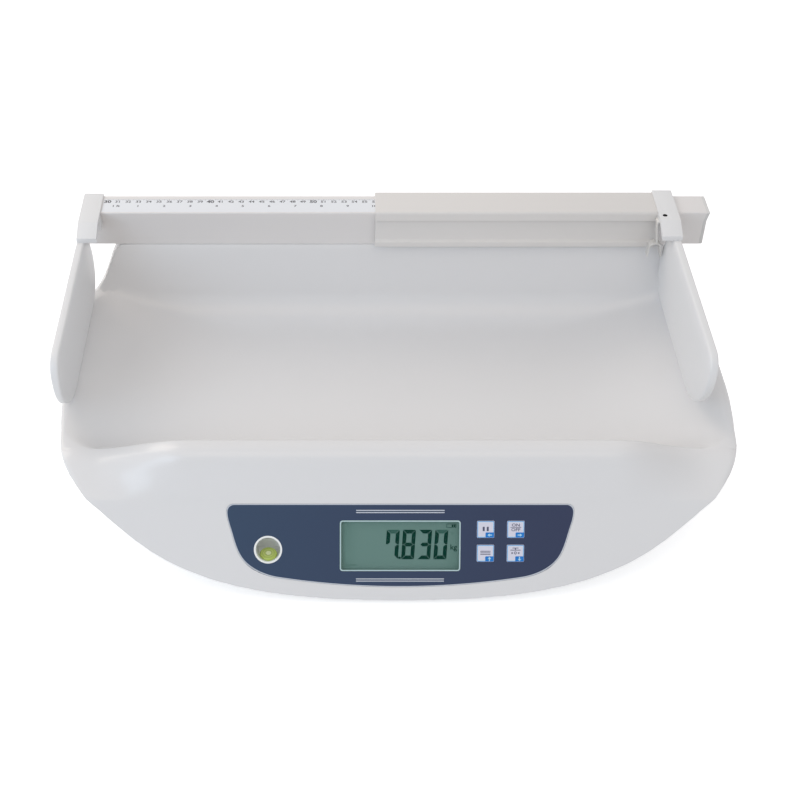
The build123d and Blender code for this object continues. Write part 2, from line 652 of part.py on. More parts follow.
def head_stop_blade():
    """Blade of the head stop, let into its arm."""
    seat = head_arm_seat()
    whole = blade(HEAD_X, RIM_Z + BLADE_GAPS[0], seat[0] - BLADE_UNDER, 1)
    return whole - along_x(arm_outline(*seat), HEAD_X, HEAD_X + ARM_W)


SPRING_T = 1.2
SPRING_W = 8.0
SPRING_Y = ARM_EDGE_Y + 8.0  # middle of the spring, in front of the sleeve
SPRING_DIP = 2.0            # how far its feet reach under the sleeve
SPRING_RISE = 14.5          # height of its arch
BRAKE_SCREW_X = 5.4         # from the arm's inner side
BRAKE_HEAD = (2.2, 1.6)     # radius and height of the screw's head
BRAKE_RECESS = 2.2          # radius of the hole's mouth in the arm's top


def spring_top():
    """Level of the arm's underside, where the spring is screwed up."""
    return foot_arm_seat()[0] - ARM_T - 0.5


def brake_spring():
    """Bent leaf under the arm: it brakes the sleeve and is pinched to let it run."""
    x0 = STOP_X - ARM_W
    low = SLEEVE_LOW - SPRING_DIP
    crown, top = low + SPRING_RISE, spring_top() - SPRING_T / 2
    arch = FilletPolyline((x0 - 6, low), (x0 - 4.5, crown), (x0 + 5.5, crown), (x0 + 7, low), radius=4.5)
    leg = FilletPolyline((x0 + 10, top), (x0 - 1.5, top), (x0 + 1.5, crown), radius=1.5)
    leaf = Sketch() + [make_face(offset(bend, SPRING_T / 2, side=Side.BOTH)) for bend in (arch, leg)]
    strip = extrude(Plane.XZ.offset(-SPRING_Y) * leaf, SPRING_W / 2, both=True)
    return strip - brake_screw_hole()


def brake_screw_hole():
    """Hole of the brake screw, wider where it opens in the arm's top."""
    at = Pos(STOP_X - ARM_W + BRAKE_SCREW_X, SPRING_Y, foot_arm_seat()[0])
    return at * Cylinder(FIXING_R, 20) + at * Cylinder(BRAKE_RECESS, 4)


def brake_screw():
    """Screw that holds the brake spring up to the arm."""
    low, high = spring_top() - SPRING_T, foot_arm_seat()[0] - 3.0
    at = Pos(STOP_X - ARM_W + BRAKE_SCREW_X, SPRING_Y)
    r, head = BRAKE_HEAD
    return at * (Pos(0, 0, (low + high) / 2) * Cylinder(FIXING_R, high - low) +
                 Pos(0, 0, low - head / 2) * Cylinder(r, head))


# ---------------------------------------------------------------- base
GAP = 2.5                   # between the moulding, which weighs, and the base
PAN_T = 2.5
PAN_LIFT = 1.0              # how far the pan lies inside the moulding's edge
PAN_HALF = HALF_LENGTH - 62.0
FOOT_X = HALF_LENGTH - 156.0
FOOT_Y = (CREASE_Y + 23.0, BACK_Y - 46.5)
FOOT_R = 16.0
PAD_H = 8.0
STUD_R = 4.0
STUD_TOP = 40.0
WHEEL = (12.0, 10.5, 15.0)  # radius, bottom and top of the stud's wheel
SCALLOPS = 12               # finger grips round the wheel
SCALLOP_R = 2.0
BALL_R = 5.0
BALL_Z = 4.0
RUN = 0.05                  # running gap of the studs
INSERT_R = 7.0
BOSS_WALL = 2.5
BOSS_TOP = 34.0
CELL = (130.0, 28.0, 22.0)  # load cell
CELL_Y = 22.0
FRAME = (140.0, 60.0, 3.0)
FRAME_LIFT = 0.3            # under the ends of the frame, where the pan comes up
SEAT_W = 14.0               # pads on the pan under the frame
SPACER = (30.0, 28.0, 3.0)
SPIDER_T = 4.0
SPIDER_ARM = (98.0, 38.0)   # posts, either side of the load cell's middle
POST_R = 7.0
CELL_BOLT_R = 3.0
CELL_BORE = (8.0, 14.0)     # its two bores: radius, and place either side of its middle
CELL_BOLT_Y = 7.0           # its bolts, either side of its middle line
CELL_BOLT_IN = (12.0, 12.0)  # how far the lower and upper bolts reach into it
CELL_BOLT_HEAD = (5.0, 5.0)  # radius and height
SPIDER_BAR = (150.0, 34.0, 16.0)  # length and width of the bar, and width of the arms
AA = (7.25, 50.5)           # radius and length of a cell
AA_COUNT = 6
BATTERY_Y = BACK_Y - 64.5
LID_TRAVEL = 8.0
BATTERY_BOX_Z = 11.4
BATTERY_BOX_WALL = 2.0
LID = (95.0, 70.0, 1.8)
LID_Z = 7.6
LID_Y = BACK_Y - 66.5


def keel_height(x):
    """Height of the moulding's edge at a distance from its middle."""
    curve, low, high = keel_curve(), 0.5, 1.0
    for _ in range(40):
        half_way = (low + high) / 2
        low, high = (half_way, high) if (curve @ half_way).X < x else (low, half_way)
    return (curve @ low).Y


PAN_TOP = KEEL_Z + PAN_LIFT + PAN_T
FRAME_Z = keel_height(FRAME[0] / 2) + PAN_LIFT + PAN_T + FRAME_LIFT
CELL_Z = FRAME_Z + FRAME[2] + SPACER[2]
SPIDER_Z = CELL_Z + CELL[2] + SPACER[2]


def feet():
    """Name and place of each foot."""
    for row, y in zip(("front", "back"), FOOT_Y):
        for side, x in (("left", -FOOT_X), ("right", FOOT_X)):
            yield f"{row}_{side}", x, y


def base_pan():
    """Pan that closes the underside, following the moulding's edge."""
    inset = WALL + GAP
    over_edge = keel_block().moved(Location((0, 0, PAN_LIFT)))
    pan = (over_edge - over_edge.moved(Location((0, 0, PAN_T)))) & plan_block(inset)
    pan -= console_cutter(inset)
    pan &= Box(2 * PAN_HALF, 2 * FAR, 2 * FAR)
    for _, x, y in feet():
        boss = Pos(x, y, BOSS_TOP / 2 + 9) * Cylinder(INSERT_R + BOSS_WALL, BOSS_TOP - 18)
        pan += boss & over_edge
    for sx in (-1, 1):
        seat = Box(SEAT_W, FRAME[1], FRAME_Z - PAN_TOP)
        pan += Pos(sx * (FRAME[0] / 2 - SEAT_W), CELL_Y, (PAN_TOP + FRAME_Z) / 2) * seat
    for _, x, y in feet():
        pan -= Pos(x, y, BOSS_TOP / 2) * Cylinder(INSERT_R, 60)
    pan -= Pos(0, LID_Y + LID_TRAVEL / 2, 10) * Box(LID[0] + 1, LID[1] + LID_TRAVEL + 1, 20)
    return pan.solids().sort_by(SortBy.VOLUME)[-1]


def battery_box():
    """Box over the pocket in the pan, open downwards, with the cells in it."""
    wall, room = BATTERY_BOX_WALL, 5.0
    wide, deep, high = LID[0] + room, LID[1] + LID_TRAVEL + room, 2 * AA[0] + 3.5
    at = Pos(0, LID_Y + LID_TRAVEL / 2, BATTERY_BOX_Z + high / 2)
    box = at * Box(wide + 2 * wall, deep + 2 * wall, high)
    return box - at * Pos(0, 0, -wall) * Box(wide, deep, high)


def battery_cells():
    """Six AA cells side by side."""
    z = BATTERY_BOX_Z + AA[0] + 0.8
    pitch = 2 * AA[0] + 0.4
    parts = []
    for i in range(AA_COUNT):
        x = (i - (AA_COUNT - 1) / 2) * pitch
        up = 1 if i % 2 else -1
        can = Pos(x, BATTERY_Y, z) * Rot(90, 0, 0) * Cylinder(AA[0], AA[1] - 1)
        parts.append(can + Pos(x, BATTERY_Y + up * (AA[1] / 2), z) * Rot(90, 0, 0) * Cylinder(2.7, 1.4))
    return parts


def battery_cover():
    """Cover that slides to unlock, then lifts off."""
    plate = Pos(0, LID_Y, LID_Z + LID[2] / 2) * Box(LID[0], LID[1], LID[2])
    grip = [Pos(0, LID_Y - 20 + 4 * i, LID_Z) * Box(24, 1.2, 0.8) for i in range(5)]
    return plate - grip


def foot_insert(x, y):
    """Threaded bush in the pan's boss."""
    bush = Pos(x, y, (BOSS_TOP + 20) / 2) * Cylinder(INSERT_R, BOSS_TOP - 20)
    return bush - Pos(x, y, BOSS_TOP / 2) * Cylinder(STUD_R + RUN, 80)


def foot_stud(x, y):
    """Threaded stud with a scalloped finger wheel and a ball end."""
    r, low, high = WHEEL
    ball = Pos(x, y, (BALL_Z + low) / 2) * Cylinder(BALL_R, low - BALL_Z)
    wheel = Pos(x, y, (low + high) / 2) * Cylinder(r, high - low)
    wheel -= [Pos(x, y, 0) * spot * Cylinder(SCALLOP_R, 60) for spot in PolarLocations(r + 1.0, SCALLOPS)]
    return ball + wheel + Pos(x, y, (high + STUD_TOP) / 2) * Cylinder(STUD_R, STUD_TOP - high)


def foot_pad(x, y):
    """Rubber pad that swivels on the stud's ball."""
    pad = Pos(x, y, PAD_H / 2) * Cylinder(FOOT_R, PAD_H)
    pad = chamfer(pad.edges().sort_by(Axis.Z)[-1], 2.0)
    return pad - Pos(x, y, BALL_Z - RUN + 10) * Cylinder(BALL_R + RUN, 20)


def base_frame():
    """Steel plate in the pan that carries the load cell."""
    plate = Pos(0, CELL_Y, FRAME_Z + FRAME[2] / 2) * Box(*FRAME)
    return plate - cell_bolt_holes(-1)


def cell_bolt_places(end):
    """Two bolts at one end of the load cell: -1 under it, 1 over it."""
    for y in (-CELL_BOLT_Y, CELL_BOLT_Y):
        yield end * (CELL[0] / 2 - SPACER[0] / 2), CELL_Y + y


def cell_bolt_holes(end):
    """Bolt holes at one end of the load cell."""
    return Part() + [Pos(x, y, 40) * Cylinder(CELL_BOLT_R, 100) for x, y in cell_bolt_places(end)]


def load_cell():
    """Aluminium bending beam with its double-bored hollow."""
    beam = Pos(0, CELL_Y, CELL_Z + CELL[2] / 2) * Box(*CELL)
    bore_r, bore_x = CELL_BORE
    for x in (-bore_x, bore_x):
        beam -= Pos(x, CELL_Y, CELL_Z + CELL[2] / 2) * Rot(90, 0, 0) * Cylinder(bore_r, 2 * CELL[1])
    beam -= Pos(0, CELL_Y, CELL_Z + CELL[2] / 2) * Box(2 * bore_x, 2 * CELL[1], bore_r)
    return beam - cell_bolt_holes(-1) - cell_bolt_holes(1)


def cell_spacers():
    """Spacers under one end of the load cell and over the other."""
    x = CELL[0] / 2 - SPACER[0] / 2
    low = Pos(-x, CELL_Y, CELL_Z - SPACER[2] / 2) * Box(*SPACER) - cell_bolt_holes(-1)
    high = Pos(x, CELL_Y, SPIDER_Z - SPACER[2] / 2) * Box(*SPACER) - cell_bolt_holes(1)
    return [low, high]


def cell_bolts():
    """Bolts of the load cell."""
    parts = []
    low, high = FRAME_Z, CELL_Z + CELL_BOLT_IN[0]
    for x, y in cell_bolt_places(-1):
        parts.append(Pos(x, y, (low + high) / 2) * Cylinder(CELL_BOLT_R, high - low))
    low, high = CELL_Z + CELL[2] - CELL_BOLT_IN[1], SPIDER_Z + SPIDER_T
    r, head = CELL_BOLT_HEAD
    for x, y in cell_bolt_places(1):
        shank = Pos(x, y, (low + high) / 2) * Cylinder(CELL_BOLT_R, high - low)
        parts.append(shank + Pos(x, y, high + head / 2) * Cylinder(r, head))
    return parts


def load_spider():
    """Cast cross that takes the tray's load to the load cell."""
    ax, ay = SPIDER_ARM
    z = SPIDER_Z + SPIDER_T / 2
    length = 2 * math.hypot(ax, ay)
    angle = math.degrees(math.atan2(ay, ax))
    bar, width, arm = SPIDER_BAR
    cross = Pos(0, CELL_Y, z) * Box(bar, width, SPIDER_T)
    for turn in (angle, -angle):
        cross += Pos(0, CELL_Y, z) * Rot(0, 0, turn) * Box(length, arm, SPIDER_T)
    for sx in (-1, 1):
        for sy in (-1, 1):
            top = FLOOR_Z - WALL
            cross += Pos(sx * ax, CELL_Y + sy * ay, (SPIDER_Z + top) / 2) * Cylinder(POST_R, top - SPIDER_Z)
    return cross - cell_bolt_holes(1)


# ---------------------------------------------------------------- mains inlet
INLET_X = 120.0
INLET_Z = 36.0
INLET_R = 4.0


def dc_inlet():
    """Low-voltage inlet in the back of the moulding."""
    inner = BACK_Y - WALL
    body = Pos(INLET_X, inner - 7, INLET_Z) * Box(12, 14, 11)
    body += Pos(INLET_X, inner + (WALL - 0.3) / 2, INLET_Z) * Rot(90, 0, 0) * Cylinder(INLET_R, WALL - 0.3)
    body -= Pos(INLET_X, BACK_Y - 5, INLET_Z) * Rot(90, 0, 0) * Cylinder(3.1, 10)
    return body + Pos(INLET_X, BACK_Y - 6, INLET_Z) * Rot(90, 0, 0) * Cylinder(1.0, 9)


# ---------------------------------------------------------------- the moulding itself
def tray_shell():
    """One-piece moulding: tray, lip, console and skirt."""
    shell = (hull() - tray_block()) - (hull(WALL) - tray_block(WALL))
    shell += board_boss_cut(WALL - 0.5, LCD_BACK, BOSS_R)
    depth = BRACKET_BOSS[1]
    for x, y in bracket_screw_places():
        shell += Pos(x, y, BACK_WALL_Z - 1 - depth / 2) * Cylinder(BRACKET_BOSS[0], depth)
    for x, y in bracket_screw_places():
        shell -= Pos(x, y, BACK_WALL_Z) * Cylinder(FIXING_R, 20)
    shell -= board_boss_cut(WALL + 1, LCD_BACK + 1, SCREW_R)
    shell -= console_openings()
    shell -= Pos(INLET_X, BACK_Y, INLET_Z) * Rot(90, 0, 0) * Cylinder(INLET_R, 12)
    return shell


# ---------------------------------------------------------------- write
def solids_of(shape):
    """One exportable shape from a solid or from a list of them."""
    return Compound(children=list(shape)) if isinstance(shape, list) else shape


def all_parts():
    """Every piece by its name."""
    parts = {
        "tray_shell": tray_shell(),
        "panel_foil": panel_foil(),
        "display_lens": display_lens(),
        "lcd_module": lcd_module(),
        "display_board": display_board(),
        "board_screws": board_screws(),
        "key_switches": key_switches(),
        "level_cup": level_cup(),
        "level_vial": level_vial(),
        "dc_inlet": dc_inlet(),
        "measuring_rod": measuring_rod(),
        "ruler_strip": ruler_strip(),
        "rod_plug": rod_plug(),
        "rod_brackets": rod_brackets(),
        "bracket_screws": bracket_screws(),
        "head_stop_arm": head_stop_arm(),
        "head_stop_blade": head_stop_blade(),
        "head_stop_screw": head_stop_screw(),
        "slider_sleeve": slider_sleeve(),
        "foot_stop_arm": foot_stop_arm(),
        "foot_stop_blade": foot_stop_blade(),
        "brake_spring": brake_spring(),
        "brake_screw": brake_screw(),
        "base_pan": base_pan(),
        "base_frame": base_frame(),
        "load_cell": load_cell(),
        "cell_spacers": cell_spacers(),
        "cell_bolts": cell_bolts(),
        "load_spider": load_spider(),
        "battery_box": battery_box(),
        "battery_cells": battery_cells(),
        "battery_cover": battery_cover(),
    }
    for name, x, drop in key_places():
        parts[name] = key_cap(x, drop)
    for name, x, y in feet():
        parts[f"foot_insert_{name}"] = foot_insert(x, y)
        parts[f"foot_stud_{name}"] = foot_stud(x, y)
        parts[f"foot_pad_{name}"] = foot_pad(x, y)
    return parts


os.makedirs("parts", exist_ok=True)
for part_name, part in all_parts().items():
    export_step(solids_of(part), f"parts/{part_name}.step")
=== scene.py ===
"""Looks of a digital baby scale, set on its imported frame."""
import json
import math

import bmesh
import bpy
import numpy as np
from mathutils import Matrix, Vector

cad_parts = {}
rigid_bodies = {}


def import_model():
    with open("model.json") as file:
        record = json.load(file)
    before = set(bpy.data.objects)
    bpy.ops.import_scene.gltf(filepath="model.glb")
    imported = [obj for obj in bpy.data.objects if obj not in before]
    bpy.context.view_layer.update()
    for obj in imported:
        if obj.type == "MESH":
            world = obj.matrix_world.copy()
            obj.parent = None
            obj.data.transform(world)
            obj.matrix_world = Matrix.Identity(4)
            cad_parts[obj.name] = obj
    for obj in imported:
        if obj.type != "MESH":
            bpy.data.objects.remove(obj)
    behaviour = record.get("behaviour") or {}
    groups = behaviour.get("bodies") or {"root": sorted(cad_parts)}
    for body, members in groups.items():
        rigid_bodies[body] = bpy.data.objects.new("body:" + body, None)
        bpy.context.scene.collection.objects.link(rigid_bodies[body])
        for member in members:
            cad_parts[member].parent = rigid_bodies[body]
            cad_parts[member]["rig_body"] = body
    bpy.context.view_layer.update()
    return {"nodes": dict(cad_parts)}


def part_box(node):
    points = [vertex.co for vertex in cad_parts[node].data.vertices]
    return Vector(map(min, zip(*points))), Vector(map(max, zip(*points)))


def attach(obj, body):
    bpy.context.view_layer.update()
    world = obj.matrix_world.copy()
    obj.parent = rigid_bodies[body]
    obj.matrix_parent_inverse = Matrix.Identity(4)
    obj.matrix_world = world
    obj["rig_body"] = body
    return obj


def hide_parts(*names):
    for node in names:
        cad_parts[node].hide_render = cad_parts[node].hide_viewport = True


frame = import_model()


# ---------------------------------------------------------------- tray moulding
# One large injection moulding in white plastic with a soft gloss: bed, rolled lip,
# upswept ends and console together. Its wall is 3 mm all over, and it is open below.
MM = 0.001
WALL = 3.0
HALF_LENGTH = 306.0
BACK_Y = 184.5
RIM_Z = 95.0
FLOOR_Z = 66.0
CREASE_Y, CREASE_Z = -135.0, 80.0     # where the console meets the wall over it
CONSOLE_ANGLE = math.radians(56.0)
LIP_SPAN = (185.0, 272.0)             # along the tray, the lip falls from high to low
LIP_HIGH = (-111.0, 120.5)            # its crest in the middle, as y and z
LIP_LOW = (-89.0, 95.0)               # and at the ends
LIP_R = 9.0
LIP_START = 0.80                      # share of the wall below the roll
LIP_KNEE = 0.9                        # the roll's knee ahead of its crest, of its radius
LEDGE_Z = 143.5
LEDGE_SPAN = (262.0, 298.0)
LEDGE_Y = 157.3
SIDE_RIM_Y = (-40.0, 110.0)           # level stretch of both side rims
BOWL_FLOOR = (150.0, -46.0, 92.0)     # half length, front and back of the flat bed
BOWL_RIM = (296.5, -86.0, 145.5)      # and of the bowl's rim
BOWL_R = 33.0
BOWL_SPREAD = 9.0                     # added to the corner radius down at the bed
BOWL_RISE, BOWL_BACK_RISE = 2.2, 1.5  # powers that curve the bowl's walls
HALVINGS = 26                         # steps of the search for the bowl's height
SPINE_X, SPINE_Y = 150.0, 20.0        # sections of the tray start from this line
ROUNDING = 2.3
CURVE_STEPS, BEZIER_STEPS = 40, 60
RAY_STEP, PROFILE_STEP = 0.2, 0.4
ROW_COUNTS, ROW_GAP = (5, 22, 12, 8, 14, 22, 10), 1.5
SIDE_SECTIONS, END_SECTIONS = 51, 91


def curve_through(points, start, end=None):
    """Cubic spline through points, by chord length; its end is free if no tangent is given."""
    p = np.array(points, float)
    t = np.concatenate([[0], np.cumsum(np.linalg.norm(np.diff(p, axis=0), axis=1))])
    n, h = len(p), np.diff(t)
    a, b = np.zeros((n, n)), np.zeros((n, 2))
    for i in range(1, n - 1):
        a[i, i - 1:i + 2] = h[i - 1], 2 * (h[i - 1] + h[i]), h[i]
        b[i] = 3 * ((p[i + 1] - p[i]) / h[i] - (p[i] - p[i - 1]) / h[i - 1])
    a[0, :2] = 2 * h[0], h[0]
    b[0] = 3 * ((p[1] - p[0]) / h[0] - np.array(start))
    a[-1, -1] = 1
    if end is not None:
        a[-1, -2:] = h[-1], 2 * h[-1]
        b[-1] = 3 * (np.array(end) - (p[-1] - p[-2]) / h[-1])
    c = np.linalg.solve(a, b)
    rows = []
    for i in range(n - 1):
        s = np.linspace(0, h[i], CURVE_STEPS)[:, None]
        slope = (p[i + 1] - p[i]) / h[i] - h[i] * (2 * c[i] + c[i + 1]) / 3
        rows.append(p[i] + slope * s + c[i] * s ** 2 + (c[i + 1] - c[i]) / (3 * h[i]) * s ** 3)
    return np.vstack(rows)


def bezier(*points):
    """Points of one Bezier curve."""
    t = np.linspace(0, 1, BEZIER_STEPS)[:, None]
    rows = [np.array(q, float)[None, :].repeat(BEZIER_STEPS, 0) for q in points]
    while len(rows) > 1:
        rows = [(1 - t) * p + t * q for p, q in zip(rows, rows[1:])]
    return rows[0]


KEEL = curve_through([(0, 6.4), (133, 15.3), (182, 27.6), (211, 40), (232, 52.6), (249.5, 65),
                      (263.6, 75.5), (284, 86), (HALF_LENGTH, 92)], start=(1, 0))
OUTLINE = np.vstack([
    [(0, -260), (150, -260)],
    bezier((225, -180), (258, -148), (292, -120), (299, -78)),
    bezier((299, -78), (301, -54), (306, -36), (306, 10)),
    bezier((306, 10), (306, 60), (305, 92.5), (303, 122.5)),
    bezier((303, 122.5), (300, 156.7), (275.2, BACK_Y), (241, BACK_Y)),
    [(0, BACK_Y)]])


def soft_step(v, span):
    """Smooth step from 0 to 1 over a span."""
    s = np.clip((v - span[0]) / (span[1] - span[0]), 0, 1)
    return s * s * (3 - 2 * s)


def keel_height(x):
    """Lower edge of the moulding."""
    return np.interp(np.abs(x), KEEL[:, 0], KEEL[:, 1])


def lip_height(x, y):
    """Upper wall of the console and the lip, from its crease to behind its crest."""
    s = soft_step(np.abs(x), LIP_SPAN)
    cy = LIP_HIGH[0] + s * (LIP_LOW[0] - LIP_HIGH[0])
    cz = LIP_HIGH[1] + s * (LIP_LOW[1] - LIP_HIGH[1])
    sy = CREASE_Y + LIP_START * (cy - LIP_R - CREASE_Y)
    sz = CREASE_Z + LIP_START * (cz - CREASE_Z)
    ky = cy - LIP_KNEE * LIP_R
    qa, qb, qc = sy - 2 * ky + cy, 2 * (ky - sy), sy - y
    t = 2 * qc / (-qb - np.sqrt(np.maximum(qb * qb - 4 * qa * qc, 0)))
    t = np.clip(t, 0, 1)
    roll = (1 - t) ** 2 * sz + 2 * t * (1 - t) * cz + t * t * cz
    wall = CREASE_Z + (y - CREASE_Y) / (sy - CREASE_Y) * (sz - CREASE_Z)
    face = CREASE_Z + (y - CREASE_Y) * math.tan(CONSOLE_ANGLE)
    return np.where(y < CREASE_Y, face, np.where(y < sy, wall, np.where(y < cy, roll, cz)))


def ledge_height(x):
    """Top of the back wall along the tray."""
    t = np.linspace(0, 1, 80)
    run = LEDGE_SPAN[0] + (LEDGE_SPAN[1] - LEDGE_SPAN[0]) * (1.5 * t * (1 - t) + t ** 3)
    drop = LEDGE_Z + (RIM_Z - LEDGE_Z) * t * t * (3 - 2 * t)
    return np.interp(np.abs(x), run, drop)


def bowl_height(x, y):
    """Height of the bed's surface; the rim's where the point lies outside the bowl."""
    low, high = np.zeros_like(x), np.ones_like(x)
    for _ in range(HALVINGS):
        s = (low + high) / 2
        half = BOWL_FLOOR[0] + (BOWL_RIM[0] - BOWL_FLOOR[0]) * s
        front = BOWL_FLOOR[1] + (BOWL_RIM[1] - BOWL_FLOOR[1]) * s
        back = BOWL_FLOOR[2] + (BOWL_RIM[2] - BOWL_FLOOR[2]) * (1 - (1 - s) ** BOWL_BACK_RISE)
        r = BOWL_R + BOWL_SPREAD * (1 - s)
        dx = np.abs(x) - (half - r)
        dy = np.abs(y - (front + back) / 2) - ((back - front) / 2 - r)
        away = np.hypot(np.maximum(dx, 0), np.maximum(dy, 0)) + np.minimum(np.maximum(dx, dy), 0) - r
        low, high = np.where(away > 0, s, low), np.where(away > 0, high, s)
    return np.where(high > 0.9999, RIM_Z, FLOOR_Z + (RIM_Z - FLOOR_Z) * low ** BOWL_RISE)


def top_height(x, y):
    """Upper surface of the moulding, and the heights that the bed and the walls would allow."""
    front_lean = (BOWL_RIM[1] - LIP_HIGH[0] - LIP_R) / (LIP_HIGH[1] - RIM_Z)
    back_lean = (LEDGE_Y - BOWL_RIM[2]) / (LEDGE_Z - RIM_Z)
    bed = bowl_height(x, y)
    bed = np.where(y < BOWL_RIM[1], RIM_Z + (BOWL_RIM[1] - y) / front_lean, bed)
    bed = np.where(y > BOWL_RIM[2], RIM_Z + (y - BOWL_RIM[2]) / back_lean, bed)
    behind = np.where(y > SIDE_RIM_Y[1], ledge_height(x), RIM_Z)
    body = np.where(y < SIDE_RIM_Y[0], lip_height(x, y), behind)
    return np.minimum(bed, body), bed, body


def outline_reach(x0, direction):
    """Distance from a point of the spine to the tray's outline."""
    side = 1 if x0 >= 0 else -1
    p = OUTLINE * (side, 1) - (x0, SPINE_Y)
    along = p @ direction
    across = p @ np.array([-direction[1], direction[0]])
    crossed = [i for i in range(len(p) - 1)
               if across[i] * across[i + 1] <= 0 and across[i] != across[i + 1]]
    return max(along[i] + (along[i + 1] - along[i]) * across[i] / (across[i] - across[i + 1])
               for i in crossed)


def spaced(marks, counts):
    """Positions between marks, closer together next to each mark."""
    rows = [np.array([marks[0]])]
    for a, b, n in zip(marks, marks[1:], counts):
        t = np.arange(1, n + 1) / n
        rows.append(a + (b - a) * (0.5 * t + 0.5 * (1 - np.cos(np.pi * t)) / 2))
    return np.concatenate(rows)


def softened(p, run):
    """A line walked in even steps with its creases rounded: places along it, and its points."""
    even = np.linspace(0, run[-1], int(run[-1] / PROFILE_STEP))
    dense = np.column_stack([np.interp(even, run, p[:, i]) for i in range(3)])
    width = int(4 * ROUNDING / PROFILE_STEP)
    kernel = np.exp(-0.5 * (np.arange(-width, width + 1) * PROFILE_STEP / ROUNDING) ** 2)
    kernel /= kernel.sum()
    head = 2 * dense[0] - dense[width:0:-1]
    tail = 2 * dense[-1] - dense[-2:-width - 2:-1]
    padded = np.vstack([head, dense, tail])
    return even, np.column_stack([np.convolve(padded[:, i], kernel, "valid") for i in range(3)])


def profile(x0, angle):
    """One section of the tray from the middle of its bed, over the lip, to its lower edge."""
    direction = np.array([math.cos(angle), math.sin(angle)])
    r = np.arange(0, outline_reach(x0, direction), RAY_STEP)
    x, y = x0 + r * direction[0], SPINE_Y + r * direction[1]
    z, bed, body = top_height(x, y)
    keel = keel_height(x)
    below = np.nonzero(z <= keel)[0]
    n = below[0] if len(below) else len(r)
    x, y, z, bed, body = x[:n], y[:n], z[:n], bed[:n], body[:n]
    drop = np.arange(z[-1], keel[n - 1], -PROFILE_STEP)[1:]
    px = np.concatenate([x, np.full(len(drop), x[-1])])
    py = np.concatenate([y, np.full(len(drop), y[-1])])
    pz = np.concatenate([z, drop])
    p = np.column_stack([px, py, pz])
    run = np.concatenate([[0], np.cumsum(np.linalg.norm(np.diff(p, axis=0), axis=1))])

    def first(condition, otherwise):
        found = np.nonzero(condition)[0]
        return run[found[0]] if len(found) else otherwise

    edge = run[n - 1]
    crest_y = LIP_HIGH[0] + soft_step(np.abs(x), LIP_SPAN) * (LIP_LOW[0] - LIP_HIGH[0])
    marks = [0, first(bed > FLOOR_Z + 0.01, edge), first(bed >= RIM_Z - 1e-6, edge),
             first(bed > body + 1e-6, edge), first(y < crest_y, edge), first(y < CREASE_Y, edge),
             edge, run[-1]]
    for i in range(1, len(marks)):
        marks[i] = max(marks[i], marks[i - 1] + ROW_GAP)
    marks[-1] = run[-1]
    for i in range(len(marks) - 2, 0, -1):
        marks[i] = min(marks[i], marks[i + 1] - ROW_GAP)
    even, soft = softened(p, run)
    at = spaced(marks, ROW_COUNTS)
    return np.column_stack([np.interp(at, even, soft[:, i]) for i in range(3)])


def tray_rays():
    """Sections round the tray: across it, and fanned round both ends."""
    across = np.linspace(-SPINE_X, SPINE_X, SIDE_SECTIONS)
    fan = np.radians(np.linspace(-90, 90, END_SECTIONS))
    rays = [(x, -math.pi / 2) for x in across]
    rays += [(SPINE_X, a) for a in fan[1:]]
    rays += [(x, math.pi / 2) for x in across[::-1][1:]]
    rays += [(-SPINE_X, math.pi - a) for a in fan[::-1][1:-1]]
    return rays


def mesh_piece(name, verts, faces, material=None):
    """New mesh object from points in metres."""
    mesh = bpy.data.meshes.new(name)
    mesh.from_pydata([tuple(v) for v in verts], [], faces)
    mesh.update()
    piece = bpy.data.objects.new(name, mesh)
    bpy.context.scene.collection.objects.link(piece)
    if material:
        mesh.materials.append(material)
    return piece


def applied(piece):
    """The piece with its modifiers turned into plain mesh."""
    graph = bpy.context.evaluated_depsgraph_get()
    mesh = bpy.data.meshes.new_from_object(piece.evaluated_get(graph))
    piece.modifiers.clear()
    piece.data = mesh
    return piece


def smooth_to(piece, degrees):
    """Smooth shading, with edges sharper than the angle kept."""
    piece.data.shade_smooth()
    piece.data.set_sharp_from_angle(angle=math.radians(degrees))
    return piece


def console_point(u, drop, height):
    """Point by its place along the console, its drop down the face and its height over it."""
    s, c = math.sin(CONSOLE_ANGLE), math.cos(CONSOLE_ANGLE)
    return Vector((u, CREASE_Y - drop * c - height * s, CREASE_Z - drop * s + height * c)) * MM


def rounded(width, height, r, steps=6):
    """Outline of a rectangle with round corners, about its middle."""
    points = []
    for right, up, start in ((1, 1, 0), (-1, 1, 90), (-1, -1, 180), (1, -1, 270)):
        x, y = right * (width / 2 - r), up * (height / 2 - r)
        for i in range(steps + 1):
            a = math.radians(start + 90 * i / steps)
            points.append((x + r * math.cos(a), y + r * math.sin(a)))
    return points


def circle(r, steps=48):
    """Outline of a circle."""
    turns = [2 * math.pi * i / steps for i in range(steps)]
    return [(r * math.cos(a), r * math.sin(a)) for a in turns]


def console_slab(name, outline, u, drop, low, high, material=None):
    """Plate on the console face between two heights; its outline is right and up."""
    n = len(outline)
    verts = [console_point(u + a, drop - b, h) for h in (low, high) for a, b in outline]
    sides = [(i, (i + 1) % n, n + (i + 1) % n, n + i) for i in range(n)]
    return mesh_piece(name, verts, [tuple(range(n))[::-1], tuple(range(n, 2 * n))] + sides, material)


